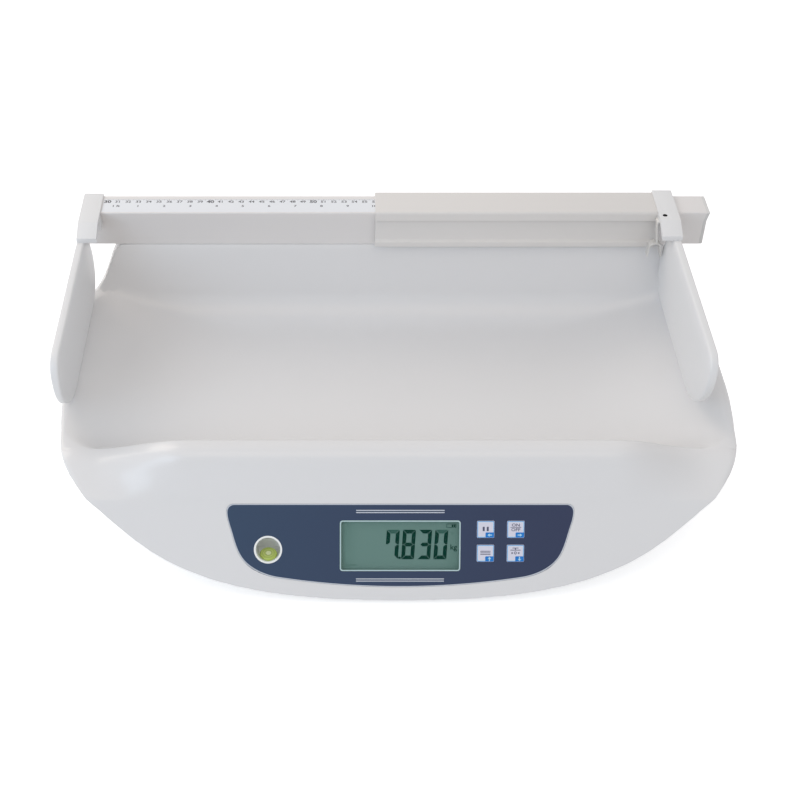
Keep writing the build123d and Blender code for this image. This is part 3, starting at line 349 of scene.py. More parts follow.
PANEL_TOP, PANEL_BOTTOM, PANEL_HALF, PANEL_T, PANEL_R = 3.7, 76.7, 149.5, 0.8, 6.0
PANEL_SIDE = ((3.2, 25.6), (13.8, 52.9))       # in from its end, and down the face
PANEL_CORNER, PANEL_CORNER_WAY = (42.2, 68.4), (-0.98, -0.19)
WINDOW, WINDOW_DROP, WINDOW_R = (104.0, 44.5), 40.4, 2.5
KEY_SIZE, KEY_X, KEY_DROP, KEY_HOLE_R = 15.0, (73.6, 99.5), (25.9, 46.9), 1.2
LEVEL_X, LEVEL_DROP, CUP_R = -114.0, 43.8, 12.2
FIT = 0.2
CUT_LOW, CUT_HIGH = -9, 5                      # the cutters reach through the console's wall
INLET_R, INLET_CUT = 4.05, (172, 192)


def panel_outline(grow):
    """The printed panel's outline: right, and up from the crease."""
    top, half, r = grow - PANEL_TOP, PANEL_HALF + grow, PANEL_R
    low = (half - PANEL_CORNER[0], -PANEL_CORNER[1] - grow)
    quarter = np.linspace(0, math.pi / 2, 8)
    turn = [(half - r + r * math.sin(a), top - r + r * math.cos(a)) for a in quarter]
    (in_high, down_high), (in_low, down_low) = PANEL_SIDE
    bend = [(half, top - r), (half - in_high, -down_high), (half - in_low, -down_low - grow / 2), low]
    side = curve_through(bend, start=(0, -1), end=PANEL_CORNER_WAY)[1::3]
    sag = low[1] + PANEL_BOTTOM + grow
    radius = (low[0] ** 2 + sag ** 2) / (2 * sag)
    reach = math.asin(low[0] / radius)
    base = [(radius * math.sin(a), -PANEL_BOTTOM - grow + radius * (1 - math.cos(a)))
            for a in np.linspace(reach, 0, 24)[1:]]
    right = turn + [tuple(q) for q in side] + base
    left = [(-a, b) for a, b in right[::-1][1:]]
    return (right + left)[::-1]


def carve(piece, cutters):
    """Takes closed cutters out of a piece."""
    for i, cutter in enumerate(cutters):
        cut = piece.modifiers.new(f"cut{i}", "BOOLEAN")
        cut.operation, cut.solver, cut.object = "DIFFERENCE", "EXACT", cutter
    applied(piece)
    for cutter in cutters:
        bpy.data.objects.remove(cutter)


def bore_cutter(name, node, r, y0, y1):
    """Round cutter running to the back, on a node's middle."""
    middle = sum(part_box(node), Vector()) / 2
    ring = circle(r)
    n = len(ring)
    verts = [(middle.x + a * MM, y * MM, middle.z + b * MM) for y in (y0, y1) for a, b in ring]
    sides = [(n + i, n + (i + 1) % n, (i + 1) % n, i) for i in range(n)]
    return mesh_piece(name, verts, [tuple(range(n)), tuple(range(n, 2 * n))[::-1]] + sides)


def surface(name):
    """Empty material with its shader and a source of object coordinates."""
    material = bpy.data.materials.new(name)
    material.use_nodes = True
    tree = material.node_tree
    shader = tree.nodes["Principled BSDF"]
    where = tree.nodes.new("ShaderNodeTexCoord").outputs["Object"]
    return material, tree, shader, where


def noise(tree, where, scale, detail=2.0):
    """Noise over the piece, between about 0 and 1."""
    node = tree.nodes.new("ShaderNodeTexNoise")
    node.inputs["Scale"].default_value = scale
    node.inputs["Detail"].default_value = detail
    tree.links.new(where, node.inputs["Vector"])
    return node.outputs["Fac"]


def span(tree, value, low, high, start=0.0, end=1.0):
    """Value brought from one range to another."""
    node = tree.nodes.new("ShaderNodeMapRange")
    limits = {"From Min": start, "From Max": end, "To Min": low, "To Max": high}
    for name, number in limits.items():
        node.inputs[name].default_value = number
    tree.links.new(value, node.inputs["Value"])
    return node.outputs["Result"]


def blend_colour(tree, factor, a, b):
    """Colour between two, by a factor."""
    node = tree.nodes.new("ShaderNodeMix")
    node.data_type = "RGBA"
    tree.links.new(factor, node.inputs["Factor"])
    for socket, colour in (("A", a), ("B", b)):
        target = [i for i in node.inputs if i.name == socket and i.type == "RGBA"][0]
        if isinstance(colour, bpy.types.NodeSocket):
            tree.links.new(colour, target)
        else:
            target.default_value = (*colour, 1)
    return [o for o in node.outputs if o.type == "RGBA"][0]


def dent(tree, shader, height, strength, distance):
    """Relief on the shader's surface."""
    node = tree.nodes.new("ShaderNodeBump")
    node.inputs["Strength"].default_value = strength
    node.inputs["Distance"].default_value = distance
    tree.links.new(height, node.inputs["Height"])
    tree.links.new(node.outputs["Normal"], shader.inputs["Normal"])


def moulded(name, colour, rough, grain=1500.0, depth=0.00001, tone=0.012):
    """Moulded plastic: very faint cloudiness, fine texture and slightly uneven gloss."""
    material, tree, shader, where = surface(name)
    shade = tuple(c * (1 - tone) for c in colour)
    cloud = noise(tree, where, 5.0, 1.0)
    tree.links.new(blend_colour(tree, span(tree, cloud, 0, 1, 0.2, 0.8), shade, colour),
                   shader.inputs["Base Color"])
    gloss = noise(tree, where, 12.0, 1.0)
    tree.links.new(span(tree, gloss, rough * 0.95, rough * 1.05, 0.2, 0.8), shader.inputs["Roughness"])
    dent(tree, shader, noise(tree, where, grain), 0.35, depth)
    shader.inputs["IOR"].default_value = 1.49
    return material


def painted(name, material):
    """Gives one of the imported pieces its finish."""
    mesh = frame["nodes"][name].data
    mesh.materials.clear()
    mesh.materials.append(material)


shell_white = moulded("shell_white", (0.765, 0.76, 0.76), 0.24)
rows = [profile(x0, angle) for x0, angle in tray_rays()]
count = len(rows[0])
shell_verts = np.vstack(rows) * MM
shell_faces = []
for i in range(len(rows)):
    a, b = i * count, ((i + 1) % len(rows)) * count
    shell_faces += [(a + k, a + k + 1, b + k + 1, b + k) for k in range(count - 1)]
tray = mesh_piece("tray_moulding", shell_verts, shell_faces, shell_white)
work = bmesh.new()
work.from_mesh(tray.data)
bmesh.ops.remove_doubles(work, verts=work.verts, dist=2e-5)
bmesh.ops.recalc_face_normals(work, faces=work.faces)
if sum(f.normal.z for f in work.faces if abs(f.calc_center_median().x) < 0.1) < 0:
    bmesh.ops.reverse_faces(work, faces=work.faces)
work.to_mesh(tray.data)
work.free()
wall = tray.modifiers.new("wall", "SOLIDIFY")
wall.thickness, wall.offset, wall.use_even_offset = WALL * MM, -1, False
applied(tray)
window_hole = rounded(WINDOW[0] + 2 * FIT, WINDOW[1] + 2 * FIT, WINDOW_R + FIT)
key_hole = rounded(KEY_SIZE + 2 * FIT, KEY_SIZE + 2 * FIT, KEY_HOLE_R)
level_hole = circle(CUP_R + FIT / 4)
cutters = [console_slab("cut_panel", panel_outline(FIT), 0, 0, -PANEL_T, CUT_HIGH + 1),
           console_slab("cut_window", window_hole, 0, WINDOW_DROP, CUT_LOW, CUT_HIGH),
           console_slab("cut_level", level_hole, LEVEL_X, LEVEL_DROP, CUT_LOW, CUT_HIGH),
           bore_cutter("cut_inlet", "dc_inlet", INLET_R, *INLET_CUT)]
cutters += [console_slab("cut_key", key_hole, x, drop, CUT_LOW, CUT_HIGH) for x in KEY_X for drop in KEY_DROP]
carve(tray, cutters)
smooth_to(tray, 38)
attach(tray, "scale")
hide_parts("tray_shell")

# ---------------------------------------------------------------- console foil
# Printed foil stuck into the recess of the console: satin navy film with a pale border
# line, two pairs of thin rules over and under the display, and openings for the keys.
def in_slab(outline, hole=None, low=0.0, high=0.03):
    """Points and faces of a thin print: a filled outline, or a band between two."""
    n = len(outline)
    around = [(i, (i + 1) % n, n + (i + 1) % n, n + i) for i in range(n)]
    if hole is None:
        return [(a, b, h) for h in (low, high) for a, b in outline], [tuple(range(n, 2 * n))] + around
    points = [(a, b, h) for h in (high, low) for line in (outline, hole) for a, b in line]
    faces = around
    faces += [(2 * n + i, 2 * n + (i + 1) % n, (i + 1) % n, i) for i in range(n)]
    faces += [(n + i, n + (i + 1) % n, 3 * n + (i + 1) % n, 3 * n + i) for i in range(n)]
    return points, faces


def printed(name, shapes, place):
    """One piece from flat prints, each with its material; place turns (a, b, height) to metres."""
    verts, faces, marks, materials = [], [], [], []
    for points, sides, material in shapes:
        if material not in materials:
            materials.append(material)
        faces += [tuple(i + len(verts) for i in side) for side in sides]
        marks += [materials.index(material)] * len(sides)
        verts += [place(*p) for p in points]
    piece = mesh_piece(name, verts, faces)
    for material in materials:
        piece.data.materials.append(material)
    piece.data.polygons.foreach_set("material_index", marks)
    work = bmesh.new()
    work.from_mesh(piece.data)
    bmesh.ops.recalc_face_normals(work, faces=work.faces)
    work.to_mesh(piece.data)
    work.free()
    return piece


def box_outline(a0, b0, a1, b1):
    """Outline of an upright rectangle by two corners."""
    return [(a0, b0), (a1, b0), (a1, b1), (a0, b1)]


def shifted(outline, a, b):
    """Outline moved in its own plane."""
    return [(x + a, y + b) for x, y in outline]


def on_face(height=0.0, u=0.0, drop=0.0):
    """Places prints on the console face: right, and up from a place on it, in millimetres."""
    return lambda a, b, h: console_point(u + a, drop - b, h + height)


def ink(name, colour, rough=0.45):
    """Printing ink, a little uneven in tone."""
    return moulded(name, colour, rough, 2500.0, 0.00001, 0.06)


def film(name, left, right):
    """Printed polyester film over a faint grain, with painted light: lighter at its left end, where the light
    falls from, and darker to its right.
    """
    material, tree, shader, where = surface(name)
    parts = tree.nodes.new("ShaderNodeSeparateXYZ")
    tree.links.new(where, parts.inputs["Vector"])
    # painted light: the film's tone runs from lighter at the left to darker at the right
    tone = blend_colour(tree, span(tree, parts.outputs["X"], 0, 1, -0.15, 0.15), left, right)
    speck = span(tree, noise(tree, where, 2200.0, 2.0), 0, 1, 0.35, 0.7)
    dark = tuple(c * 0.86 for c in left)
    tree.links.new(blend_colour(tree, span(tree, speck, 0, 0.25), tone, dark), shader.inputs["Base Color"])
    gloss = span(tree, noise(tree, where, 60.0, 3.0), 0.34, 0.46, 0.3, 0.7)
    tree.links.new(gloss, shader.inputs["Roughness"])
    dent(tree, shader, noise(tree, where, 3000.0), 0.25, 0.00002)
    shader.inputs["Specular IOR Level"].default_value = 0.25
    return material


# navy film, painted lighter at its left end, where light falls from
panel_navy = film("panel_navy", (0.037, 0.066, 0.122), (0.033, 0.042, 0.092))
pale_ink = ink("pale_ink", (0.62, 0.66, 0.72))
painted("panel_foil", panel_navy)
border = in_slab(panel_outline(-0.05), panel_outline(-0.75))
RULE_DROPS, RULE_PITCH, RULE_HALF, RULE_HALF_W = (9.3, 69.6), 1.9, 38, 0.4
rules = []
for drop in RULE_DROPS:
    for gap in (0.0, RULE_PITCH):
        rule = box_outline(-RULE_HALF, -drop - gap - RULE_HALF_W, RULE_HALF, -drop - gap + RULE_HALF_W)
        rules.append((*in_slab(rule), pale_ink))
foil_print = printed("console_print", [(*border, pale_ink)] + rules, on_face())
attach(foil_print, "scale")

# ---------------------------------------------------------------- display
# Liquid crystal display behind a clear window: grey-green glass, slanted seven-segment
# digits 26 mm high, a battery mark and the unit. The window has a pale printed border.
DIGIT_H, DIGIT_W, DIGIT_PITCH, SEGMENT, SLANT = 26.0, 11.2, 13.95, 3.3, 0.062
DIGIT_U, DIGIT_DROP = 35.3, 39.9
LCD_FRONT, LENS_BACK = -2.95, -2.6
SEGMENT_GAP = 0.25
READING = "7830"
LIT = {"7": "abcf", "8": "abcdefg", "3": "abcdg", "0": "abcdef"}
FAINT = {"7": "a", "0": "a"}                   # segments that the cell drives weakly
POINT_U, POINT_UP, POINT_R = DIGIT_U - 2.5 * DIGIT_PITCH - 0.8, 1.3, 1.15
BATTERY_MARK, BATTERY_BAR, BAR_PITCH = (44.3, -23.4), (44.6, -24.4, 46.0, -22.4), 1.8
UNIT_U, UNIT_DROP = 46.3, 42.4


def segment(kind):
    """Outline of one segment of a digit about the digit's middle, slanted."""
    w, t, gap, half = DIGIT_W, SEGMENT, SEGMENT_GAP, DIGIT_H / 2
    if kind == "g":
        side = [(t / 2 + gap, 0), (t + gap, t / 2)]
        bar = side + [(w - a, b) for a, b in side[::-1]] + [(w - t - gap, -t / 2), (t + gap, -t / 2)]
    elif kind in "ad":
        bar = [(gap, half), (w - gap, half), (w - t - gap, half - t), (t + gap, half - t)]
    else:
        bar = [(0, half - gap), (t, half - t - gap), (t, t / 2 + gap), (t / 2, gap), (0, gap)]
    if kind in "bc":
        bar = [(w - a, b) for a, b in bar]
    if kind in "cde":
        bar = [(a, -b) for a, b in bar]
    return [(a - w / 2 + b * SLANT, b) for a, b in bar]


def glass_ink(name, colour):
    """Liquid crystal tone behind the window: nearly matt, with a faint bloom."""
    material = moulded(name, colour, 0.5, 1500.0, 0.000005, 0.05)
    material.node_tree.nodes["Principled BSDF"].inputs["Specular IOR Level"].default_value = 0.05
    return material


def liquid_crystal():
    """Grey-green cell, with painted shade that darkens it towards its edges and its top."""
    material, tree, shader, where = surface("lcd_glass")
    parts = tree.nodes.new("ShaderNodeSeparateXYZ")
    tree.links.new(where, parts.inputs["Vector"])
    side = tree.nodes.new("ShaderNodeMath")
    side.operation = "ABSOLUTE"
    tree.links.new(parts.outputs["X"], side.inputs[0])
    # painted shade: the cell darkens towards its left and right edges
    edge = span(tree, side.outputs["Value"], 0, 0.7, 0.036, 0.052)
    tone = blend_colour(tree, edge, (0.150, 0.262, 0.232), (0.112, 0.214, 0.184))
    # painted shade: the cell darkens along its top
    high = span(tree, parts.outputs["Z"], 0, 0.6, 0.055, 0.068)
    tree.links.new(blend_colour(tree, high, tone, (0.12, 0.225, 0.198)), shader.inputs["Base Color"])
    shader.inputs["Roughness"].default_value = 0.25
    shader.inputs["Specular IOR Level"].default_value = 0.15
    dent(tree, shader, noise(tree, where, 1800.0), 0.1, 0.00001)
    return material


def clear_plastic():
    """Clear hard-coated window with faint smears in its gloss."""
    material, tree, shader, where = surface("clear_window")
    shader.inputs["Base Color"].default_value = (0.10, 0.16, 0.14, 1)
    shader.inputs["Specular IOR Level"].default_value = 0.12
    shader.inputs["Alpha"].default_value = 0.02
    smears = span(tree, noise(tree, where, 45.0, 3.0), 0.05, 0.14, 0.3, 0.7)
    tree.links.new(smears, shader.inputs["Roughness"])
    return material


def window_outline(inset, r):
    """The window's outline, drawn in, at its place on the console."""
    return shifted(rounded(WINDOW[0] - 2 * inset, WINDOW[1] - 2 * inset, r), 0, -WINDOW_DROP)


painted("lcd_module", liquid_crystal())
window = console_slab("window", rounded(*WINDOW, WINDOW_R), 0, WINDOW_DROP, LENS_BACK, 0, clear_plastic())
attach(window, "scale")
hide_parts("display_lens")
lit_ink = glass_ink("lit_segment", (0.0, 0.036, 0.024))
ghost_ink = glass_ink("ghost_segment", (0.112, 0.212, 0.183))
faint_ink = glass_ink("faint_segment", (0.045, 0.125, 0.100))
marks = []
for i, figure in enumerate(READING):
    at = (DIGIT_U + (i + 1 - len(READING)) * DIGIT_PITCH, -DIGIT_DROP)
    for kind in LIT[figure]:
        tone = faint_ink if kind in FAINT.get(figure, "") else lit_ink
        marks.append((*in_slab(shifted(segment(kind), *at)), tone))
point = shifted(circle(POINT_R, 20), POINT_U, -DIGIT_DROP - DIGIT_H / 2 + POINT_UP)
marks.append((*in_slab(point), lit_ink))
case = shifted(rounded(8.4, 3.6, 0.5), *BATTERY_MARK)
marks.append((*in_slab(case, shifted(rounded(7.6, 2.8, 0.3), *BATTERY_MARK)), lit_ink))
for i in range(2):
    marks.append((*in_slab(shifted(box_outline(*BATTERY_BAR), BAR_PITCH * i, 0)), lit_ink))
marks.append((*in_slab([(43.6, -29.2), (46.6, -29.2), (45.1, -31.6)]), ghost_ink))
marks.append((*in_slab(box_outline(-47, -58.4, -37, -57.4)), ghost_ink))
digits = printed("display_digits", marks, on_face(LCD_FRONT))
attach(digits, "scale")
rim = in_slab(window_outline(0.05, 2.4), window_outline(1.05, 1.6))
border_ink = ink("border_ink", (0.50, 0.66, 0.67))
window_border = printed("window_border", [(*rim, border_ink)], on_face())
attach(window_border, "scale")


def lettering(text, size, matrix, stretch, bold):
    """Points and faces of a line of raised lettering, centred on a place."""
    curve = bpy.data.curves.new("text", "FONT")
    curve.body, curve.size, curve.align_x, curve.align_y = text, size, "CENTER", "CENTER"
    curve.resolution_u, curve.extrude, curve.offset = 3, 0.00001, bold
    holder = bpy.data.objects.new("text", curve)
    bpy.context.scene.collection.objects.link(holder)
    graph = bpy.context.evaluated_depsgraph_get()
    mesh = bpy.data.meshes.new_from_object(holder.evaluated_get(graph))
    points = [matrix @ Vector((v.co.x * stretch, v.co.y, v.co.z)) for v in mesh.vertices]
    faces = [tuple(p.vertices) for p in mesh.polygons]
    bpy.data.objects.remove(holder)
    bpy.data.meshes.remove(mesh)
    return points, faces


def face_matrix(u, drop, height):
    """Placement on the console face, its Y up the slope."""
    turn = Matrix.Rotation(CONSOLE_ANGLE, 4, "X")
    return Matrix.Translation(console_point(u, drop, height)) @ turn


unit = lettering("kg", 0.0066, face_matrix(UNIT_U, UNIT_DROP, LCD_FRONT + 0.05), 1.0, 0.00007)
unit_mark = printed("display_unit", [(*unit, lit_ink)], lambda *p: Vector(p))
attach(unit_mark, "scale")

# ---------------------------------------------------------------- keys
# Four square moulded keys that stand a little proud of the foil. Each has a blue printed
# frame, a plain symbol for its use and an arrow on a blue corner.
def arrow(turn):
    """Outline of a short arrow that points right, turned by degrees."""
    flat = [(-1.9, -0.45), (0.1, -0.45), (0.1, -1.45), (1.9, 0), (0.1, 1.45), (0.1, 0.45), (-1.9, 0.45)]
    c, s = math.cos(math.radians(turn)), math.sin(math.radians(turn))
    return [(a * c - b * s, a * s + b * c) for a, b in flat]


key_face = moulded("key_white", (0.71, 0.70, 0.80), 0.38, 1800.0, 0.00002)
key_blue = ink("key_blue", (0.0, 0.185, 0.60), 0.5)
key_sky = ink("key_sky", (0.46, 0.74, 0.90), 0.4)
key_dark_ink = ink("key_dark_ink", (0.055, 0.06, 0.12))
KEY_SIDE = KEY_SIZE - 0.5
KEY_PROUD = 0.25                                 # how far the keys stand over the foil
KEY_FRAME = ((0, 0.9), (0.8, 0.6), (1.8, 0.4))  # off the key's size, and corner radius
TAB_W, TAB_H = 7.4, 4.6
SYMBOLS = {
    "key_left": [box_outline(-2.6, -1.5, -0.9, 2.3), box_outline(0.9, -1.5, 2.6, 2.3)],
    "key_right": [box_outline(-4.6, 1.55, 4.6, 2.05)],
    "key_up": [box_outline(-4.4, 1.5, 4.4, 2.1), box_outline(-4.4, 0.1, 4.4, 0.7),
               box_outline(-4.4, -1.3, 4.4, -0.7)],
    "key_down": [box_outline(-4.4, 2.5, 4.4, 3.1), box_outline(-0.35, 3.1, 0.35, 4.6),
                 box_outline(-2.6, 4.3, 2.6, 4.9),
                 [(-3.4, -0.8), (-1.7, 0.2), (-3.4, 1.2)], [(3.4, -0.8), (1.7, 0.2), (3.4, 1.2)]],
}
WORDS = {"key_right": (("ON", 3.7), ("OFF", -0.4)), "key_down": (("0", 0.2),)}
TURNS = {"key_left": 180, "key_right": 0, "key_up": 90, "key_down": -90}
for i, name in enumerate(SYMBOLS):
    u, drop = KEY_X[i % 2], KEY_DROP[i // 2]
    painted(name, key_face)
    outer, middle, inner = (rounded(KEY_SIDE - cut, KEY_SIDE - cut, r) for cut, r in KEY_FRAME)
    tab_at = ((KEY_SIDE - TAB_W) / 2, -KEY_SIDE / 2 + TAB_H / 2)
    shapes = [(*in_slab(outer, middle), key_blue), (*in_slab(middle, inner), key_sky),
              (*in_slab(shifted(rounded(TAB_W, TAB_H, 0.8), *tab_at), None, 0, 0.05), key_blue),
              (*in_slab(shifted(arrow(TURNS[name]), *tab_at), None, 0, 0.08), key_sky)]
    shapes += [(*in_slab(mark), key_dark_ink) for mark in SYMBOLS[name]]
    place = on_face(KEY_PROUD, u, drop)
    shapes = [([place(*p) for p in points], faces, tone) for points, faces, tone in shapes]
    for word, up in WORDS.get(name, ()):
        letters = lettering(word, 0.0036, face_matrix(u, drop - up, KEY_PROUD + 0.03), 1.25, 0.00006)
        shapes.append((*letters, key_dark_ink))
    key_print = printed(f"{name}_print", shapes, lambda *p: Vector(p))
    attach(key_print, name)

# ---------------------------------------------------------------- level
# Round spirit level at the bottom of a white cup in the console. The vial is clear
# plastic over yellow-green spirit, with two rings on its top and a bubble between them.
level_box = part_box("level_vial")
level_mid = (level_box[0] + level_box[1]) / 2
level_top = level_box[1].z
INNER_RING, OUTER_RING, BUBBLE_RING, BUBBLE_R = (3.3, 3.0), (5.2, 4.95), (2.45, 2.25), 2.3


def spirit():
    """Yellow-green spirit, deeper towards the rim."""
    material, tree, shader, where = surface("vial_green")
    centre = tree.nodes.new("ShaderNodeMapping")
    centre.inputs["Location"].default_value = (-level_mid.x, -level_mid.y, -level_top)
    tree.links.new(where, centre.inputs["Vector"])
    length = tree.nodes.new("ShaderNodeVectorMath")
    length.operation = "LENGTH"
    tree.links.new(centre.outputs["Vector"], length.inputs[0])
    depth = span(tree, length.outputs["Value"], 0, 1, 0.002, 0.0085)
    tone = blend_colour(tree, depth, (0.66, 0.74, 0.26), (0.42, 0.55, 0.08))
    tree.links.new(tone, shader.inputs["Base Color"])
    shader.inputs["Roughness"].default_value = 0.12
    dent(tree, shader, noise(tree, where, 300.0), 0.05, 0.00005)
    return material


def printed_ring(outer, inner):
    """One ring on the vial, with its ink."""
    return (*in_slab(circle(outer), circle(inner)), ring_ink)


def on_vial(a, b, h):
    """Places prints on the vial's level top."""
    return Vector((level_mid.x + a * MM, level_mid.y + b * MM, level_top + (h + 0.01) * MM))


painted("level_vial", spirit())
painted("level_cup", moulded("cup_white", (0.90, 0.91, 0.89), 0.35))
ring_ink = ink("ring_ink", (0.16, 0.26, 0.05))
bubble = glass_ink("bubble", (0.78, 0.84, 0.50))
ring_shapes = [printed_ring(*INNER_RING), printed_ring(*OUTER_RING),
               (*in_slab(circle(BUBBLE_R), None, 0, 0.06), bubble), printed_ring(*BUBBLE_RING)]
rings = printed("level_rings", ring_shapes, on_vial)
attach(rings, "scale")

# ---------------------------------------------------------------- measuring rod
# Extruded aluminium rod, powder coated white, with a printed centimetre and inch ruler in
# its track, a moulded plug in its right end, and two steel brackets on the back wall.
EDGE_ANGLE = 28.0                              # only edges sharper than this are broken


def eased(node, name, edge, material, segments=3):
    """A hard piece's own form with its edges broken, as moulding and coating leave them."""
    mesh = frame["nodes"][node].data.copy()
    piece = bpy.data.objects.new(name, mesh)
    bpy.context.scene.collection.objects.link(piece)
    work = bmesh.new()
    work.from_mesh(mesh)
    bmesh.ops.remove_doubles(work, verts=work.verts, dist=2e-6)
    bmesh.ops.dissolve_limit(work, angle_limit=math.radians(0.6), verts=work.verts, edges=work.edges)
    work.to_mesh(mesh)
    work.free()
    mesh.materials.clear()
    mesh.materials.append(material)
    round_off = piece.modifiers.new("edges", "BEVEL")
    round_off.width, round_off.segments = edge * MM, segments
    round_off.limit_method, round_off.angle_limit = "ANGLE", math.radians(EDGE_ANGLE)
    applied(piece)
    smooth_to(piece, 40)
    body = frame["nodes"][node]["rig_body"]
    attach(piece, body)
    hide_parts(node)
    return piece


# the rod's warm tint is painted light: warm light thrown back onto its front from beside it
rod_white = moulded("rod_white", (0.80, 0.775, 0.76), 0.42, 1400.0, 0.00003, 0.02)
ruler_white = moulded("ruler_white", (0.83, 0.85, 0.88), 0.5, 2500.0, 0.00001, 0.02)
plug_grey = moulded("plug_grey", (0.70, 0.695, 0.68), 0.45)
eased("measuring_rod", "rod", 0.5, rod_white)
eased("rod_plug", "rod_end", 1.2, plug_grey, 4)
painted("ruler_strip", ruler_white)

RULER_FIRST, RULER_LAST = 30, 80               # centimetres
RULER_LEFT = -276.6                            # where its first mark lies
RULER_ZERO = RULER_LEFT - 10.0 * RULER_FIRST
RULER_LENGTH = (RULER_LAST - RULER_FIRST) * 10.0
RULER_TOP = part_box("ruler_strip")[1].z
NUMBER_Y, INCH_Y, TICK_Y = 170.2, 162.6, 174.3
TICK_T = 0.00006
TICK_ROWS = (("ticks_cm", 10.0, 2.2, 0.32), ("ticks_half", 5.0, 1.6, 0.24),
             ("ticks_mm", 1.0, 1.0, 0.16))     # pitch, length and width
TENS_TYPE, ONES_TYPE = (0.0062, 0.00022), (0.0050, 0.00009)
INCH_SIZE, INCH_BOLD = 0.0044, 0.0001
FOOT, INCH = 304.8, 25.4
mark_ink = ink("mark_ink", (0.10, 0.10, 0.11))


def tick_tree():
    """Node tree of evenly spaced thin marks, with named sizes."""
    tree = bpy.data.node_groups.new("ruler_ticks", "GeometryNodeTree")
    tree.interface.new_socket("Geometry", in_out="OUTPUT", socket_type="NodeSocketGeometry")
    for name, kind in (("Start", "Vector"), ("Pitch", "Float"), ("Count", "Int"),
                       ("Size", "Vector"), ("Ink", "Material")):
        tree.interface.new_socket(name, in_out="INPUT", socket_type=f"NodeSocket{kind}")
    sizes, out = tree.nodes.new("NodeGroupInput"), tree.nodes.new("NodeGroupOutput")
    row, along = tree.nodes.new("GeometryNodeMeshLine"), tree.nodes.new("ShaderNodeCombineXYZ")
    mark, place = tree.nodes.new("GeometryNodeMeshCube"), tree.nodes.new("GeometryNodeInstanceOnPoints")
    real, paint = tree.nodes.new("GeometryNodeRealizeInstances"), tree.nodes.new("GeometryNodeSetMaterial")
    for a, b in ((sizes.outputs["Pitch"], along.inputs["X"]), (along.outputs[0], row.inputs["Offset"]),
                 (sizes.outputs["Start"], row.inputs["Start Location"]),
                 (sizes.outputs["Count"], row.inputs["Count"]),
                 (sizes.outputs["Size"], mark.inputs["Size"]), (row.outputs["Mesh"], place.inputs["Points"]),
                 (mark.outputs["Mesh"], place.inputs["Instance"]), (place.outputs[0], real.inputs[0]),
                 (real.outputs[0], paint.inputs["Geometry"]),
                 (sizes.outputs["Ink"], paint.inputs["Material"]),
                 (paint.outputs[0], out.inputs[0])):
        tree.links.new(a, b)
    return tree


ticks = tick_tree()


def tick_row(name, start, pitch, count, size):
    """One row of ruler marks as plain mesh."""
    piece = mesh_piece(name, [], [])
    marks = piece.modifiers.new("marks", "NODES")
    marks.node_group = ticks
    values = {"Start": start, "Pitch": pitch, "Count": count, "Size": size, "Ink": mark_ink}
    for socket in ticks.interface.items_tree:
        if socket.in_out == "INPUT":
            marks[socket.identifier] = values[socket.name]
    applied(piece)
    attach(piece, "scale")


for name, pitch, length, width in TICK_ROWS:
    start = ((RULER_ZERO + 10 * RULER_FIRST) * MM, (TICK_Y - length / 2) * MM, RULER_TOP)
    size = (width * MM, length * MM, TICK_T)
    tick_row(name, start, pitch * MM, int(RULER_LENGTH / pitch) + 1, size)


def top_matrix(x, y):
    """Placement flat on the ruler, read from the front."""
    return Matrix.Translation(Vector((x * MM, y * MM, RULER_TOP + 0.00002)))


numbers = []
for cm in range(RULER_FIRST, RULER_LAST + 1):
    size, bold = TENS_TYPE if cm % 10 == 0 else ONES_TYPE
    at = top_matrix(RULER_ZERO + 10 * cm, NUMBER_Y)
    numbers.append((*lettering(str(cm), size, at, 1.15, bold), mark_ink))
first_foot = top_matrix(RULER_ZERO + FOOT + 4, INCH_Y)
numbers.append((*lettering("1 ft", INCH_SIZE, first_foot, 1.3, INCH_BOLD), mark_ink))
for inch in range(1, 20):
    label = "2 ft" if inch == 12 else str(inch if inch < 12 else inch - 12)
    at = top_matrix(RULER_ZERO + FOOT + INCH * inch, INCH_Y)
    numbers.append((*lettering(label, INCH_SIZE, at, 1.2, INCH_BOLD), mark_ink))
figures = printed("ruler_figures", numbers, lambda *p: Vector(p))
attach(figures, "scale")


def plated(name, colour, rough=0.32):
    """Zinc-plated steel: fine brushing and cloudy gloss."""
    material, tree, shader, where = surface(name)
    shader.inputs["Metallic"].default_value = 1.0
    cloud = noise(tree, where, 90.0, 4.0)
    shade = tuple(c * 0.8 for c in colour)
    tree.links.new(blend_colour(tree, cloud, shade, colour), shader.inputs["Base Color"])
    brushing = noise(tree, where, 220.0, 3.0)
    tree.links.new(span(tree, brushing, rough * 0.7, rough * 1.4, 0.3, 0.7), shader.inputs["Roughness"])
    dent(tree, shader, noise(tree, where, 1200.0), 0.2, 0.00003)
    return material


zinc = plated("zinc_steel", (0.62, 0.63, 0.64))
eased("rod_brackets", "brackets", 0.4, zinc)
eased("bracket_screws", "bracket_fixings", 0.5, zinc)

# ---------------------------------------------------------------- end stops
# Moulded arms on the rod with padded blades that touch the head and the feet. The foot
# stop's arm slides with a coated sleeve and is braked by a bent leaf screwed under it.
stop_white = moulded("stop_white", (0.785, 0.785, 0.785), 0.34)
sleeve_white = moulded("sleeve_white", (0.745, 0.72, 0.695), 0.40, 1400.0, 0.00003, 0.02)
spring_white = moulded("spring_white", (0.72, 0.70, 0.665), 0.35)
eased("slider_sleeve", "sleeve", 0.7, sleeve_white)
# dark steel for the brake screw; the same dark is painted shade on the foot arm's bore wall
dark_steel_and_bore_shade = plated("dark_steel_and_bore_shade", (0.012, 0.012, 0.014), 0.6)
TOE_Y = 115.0
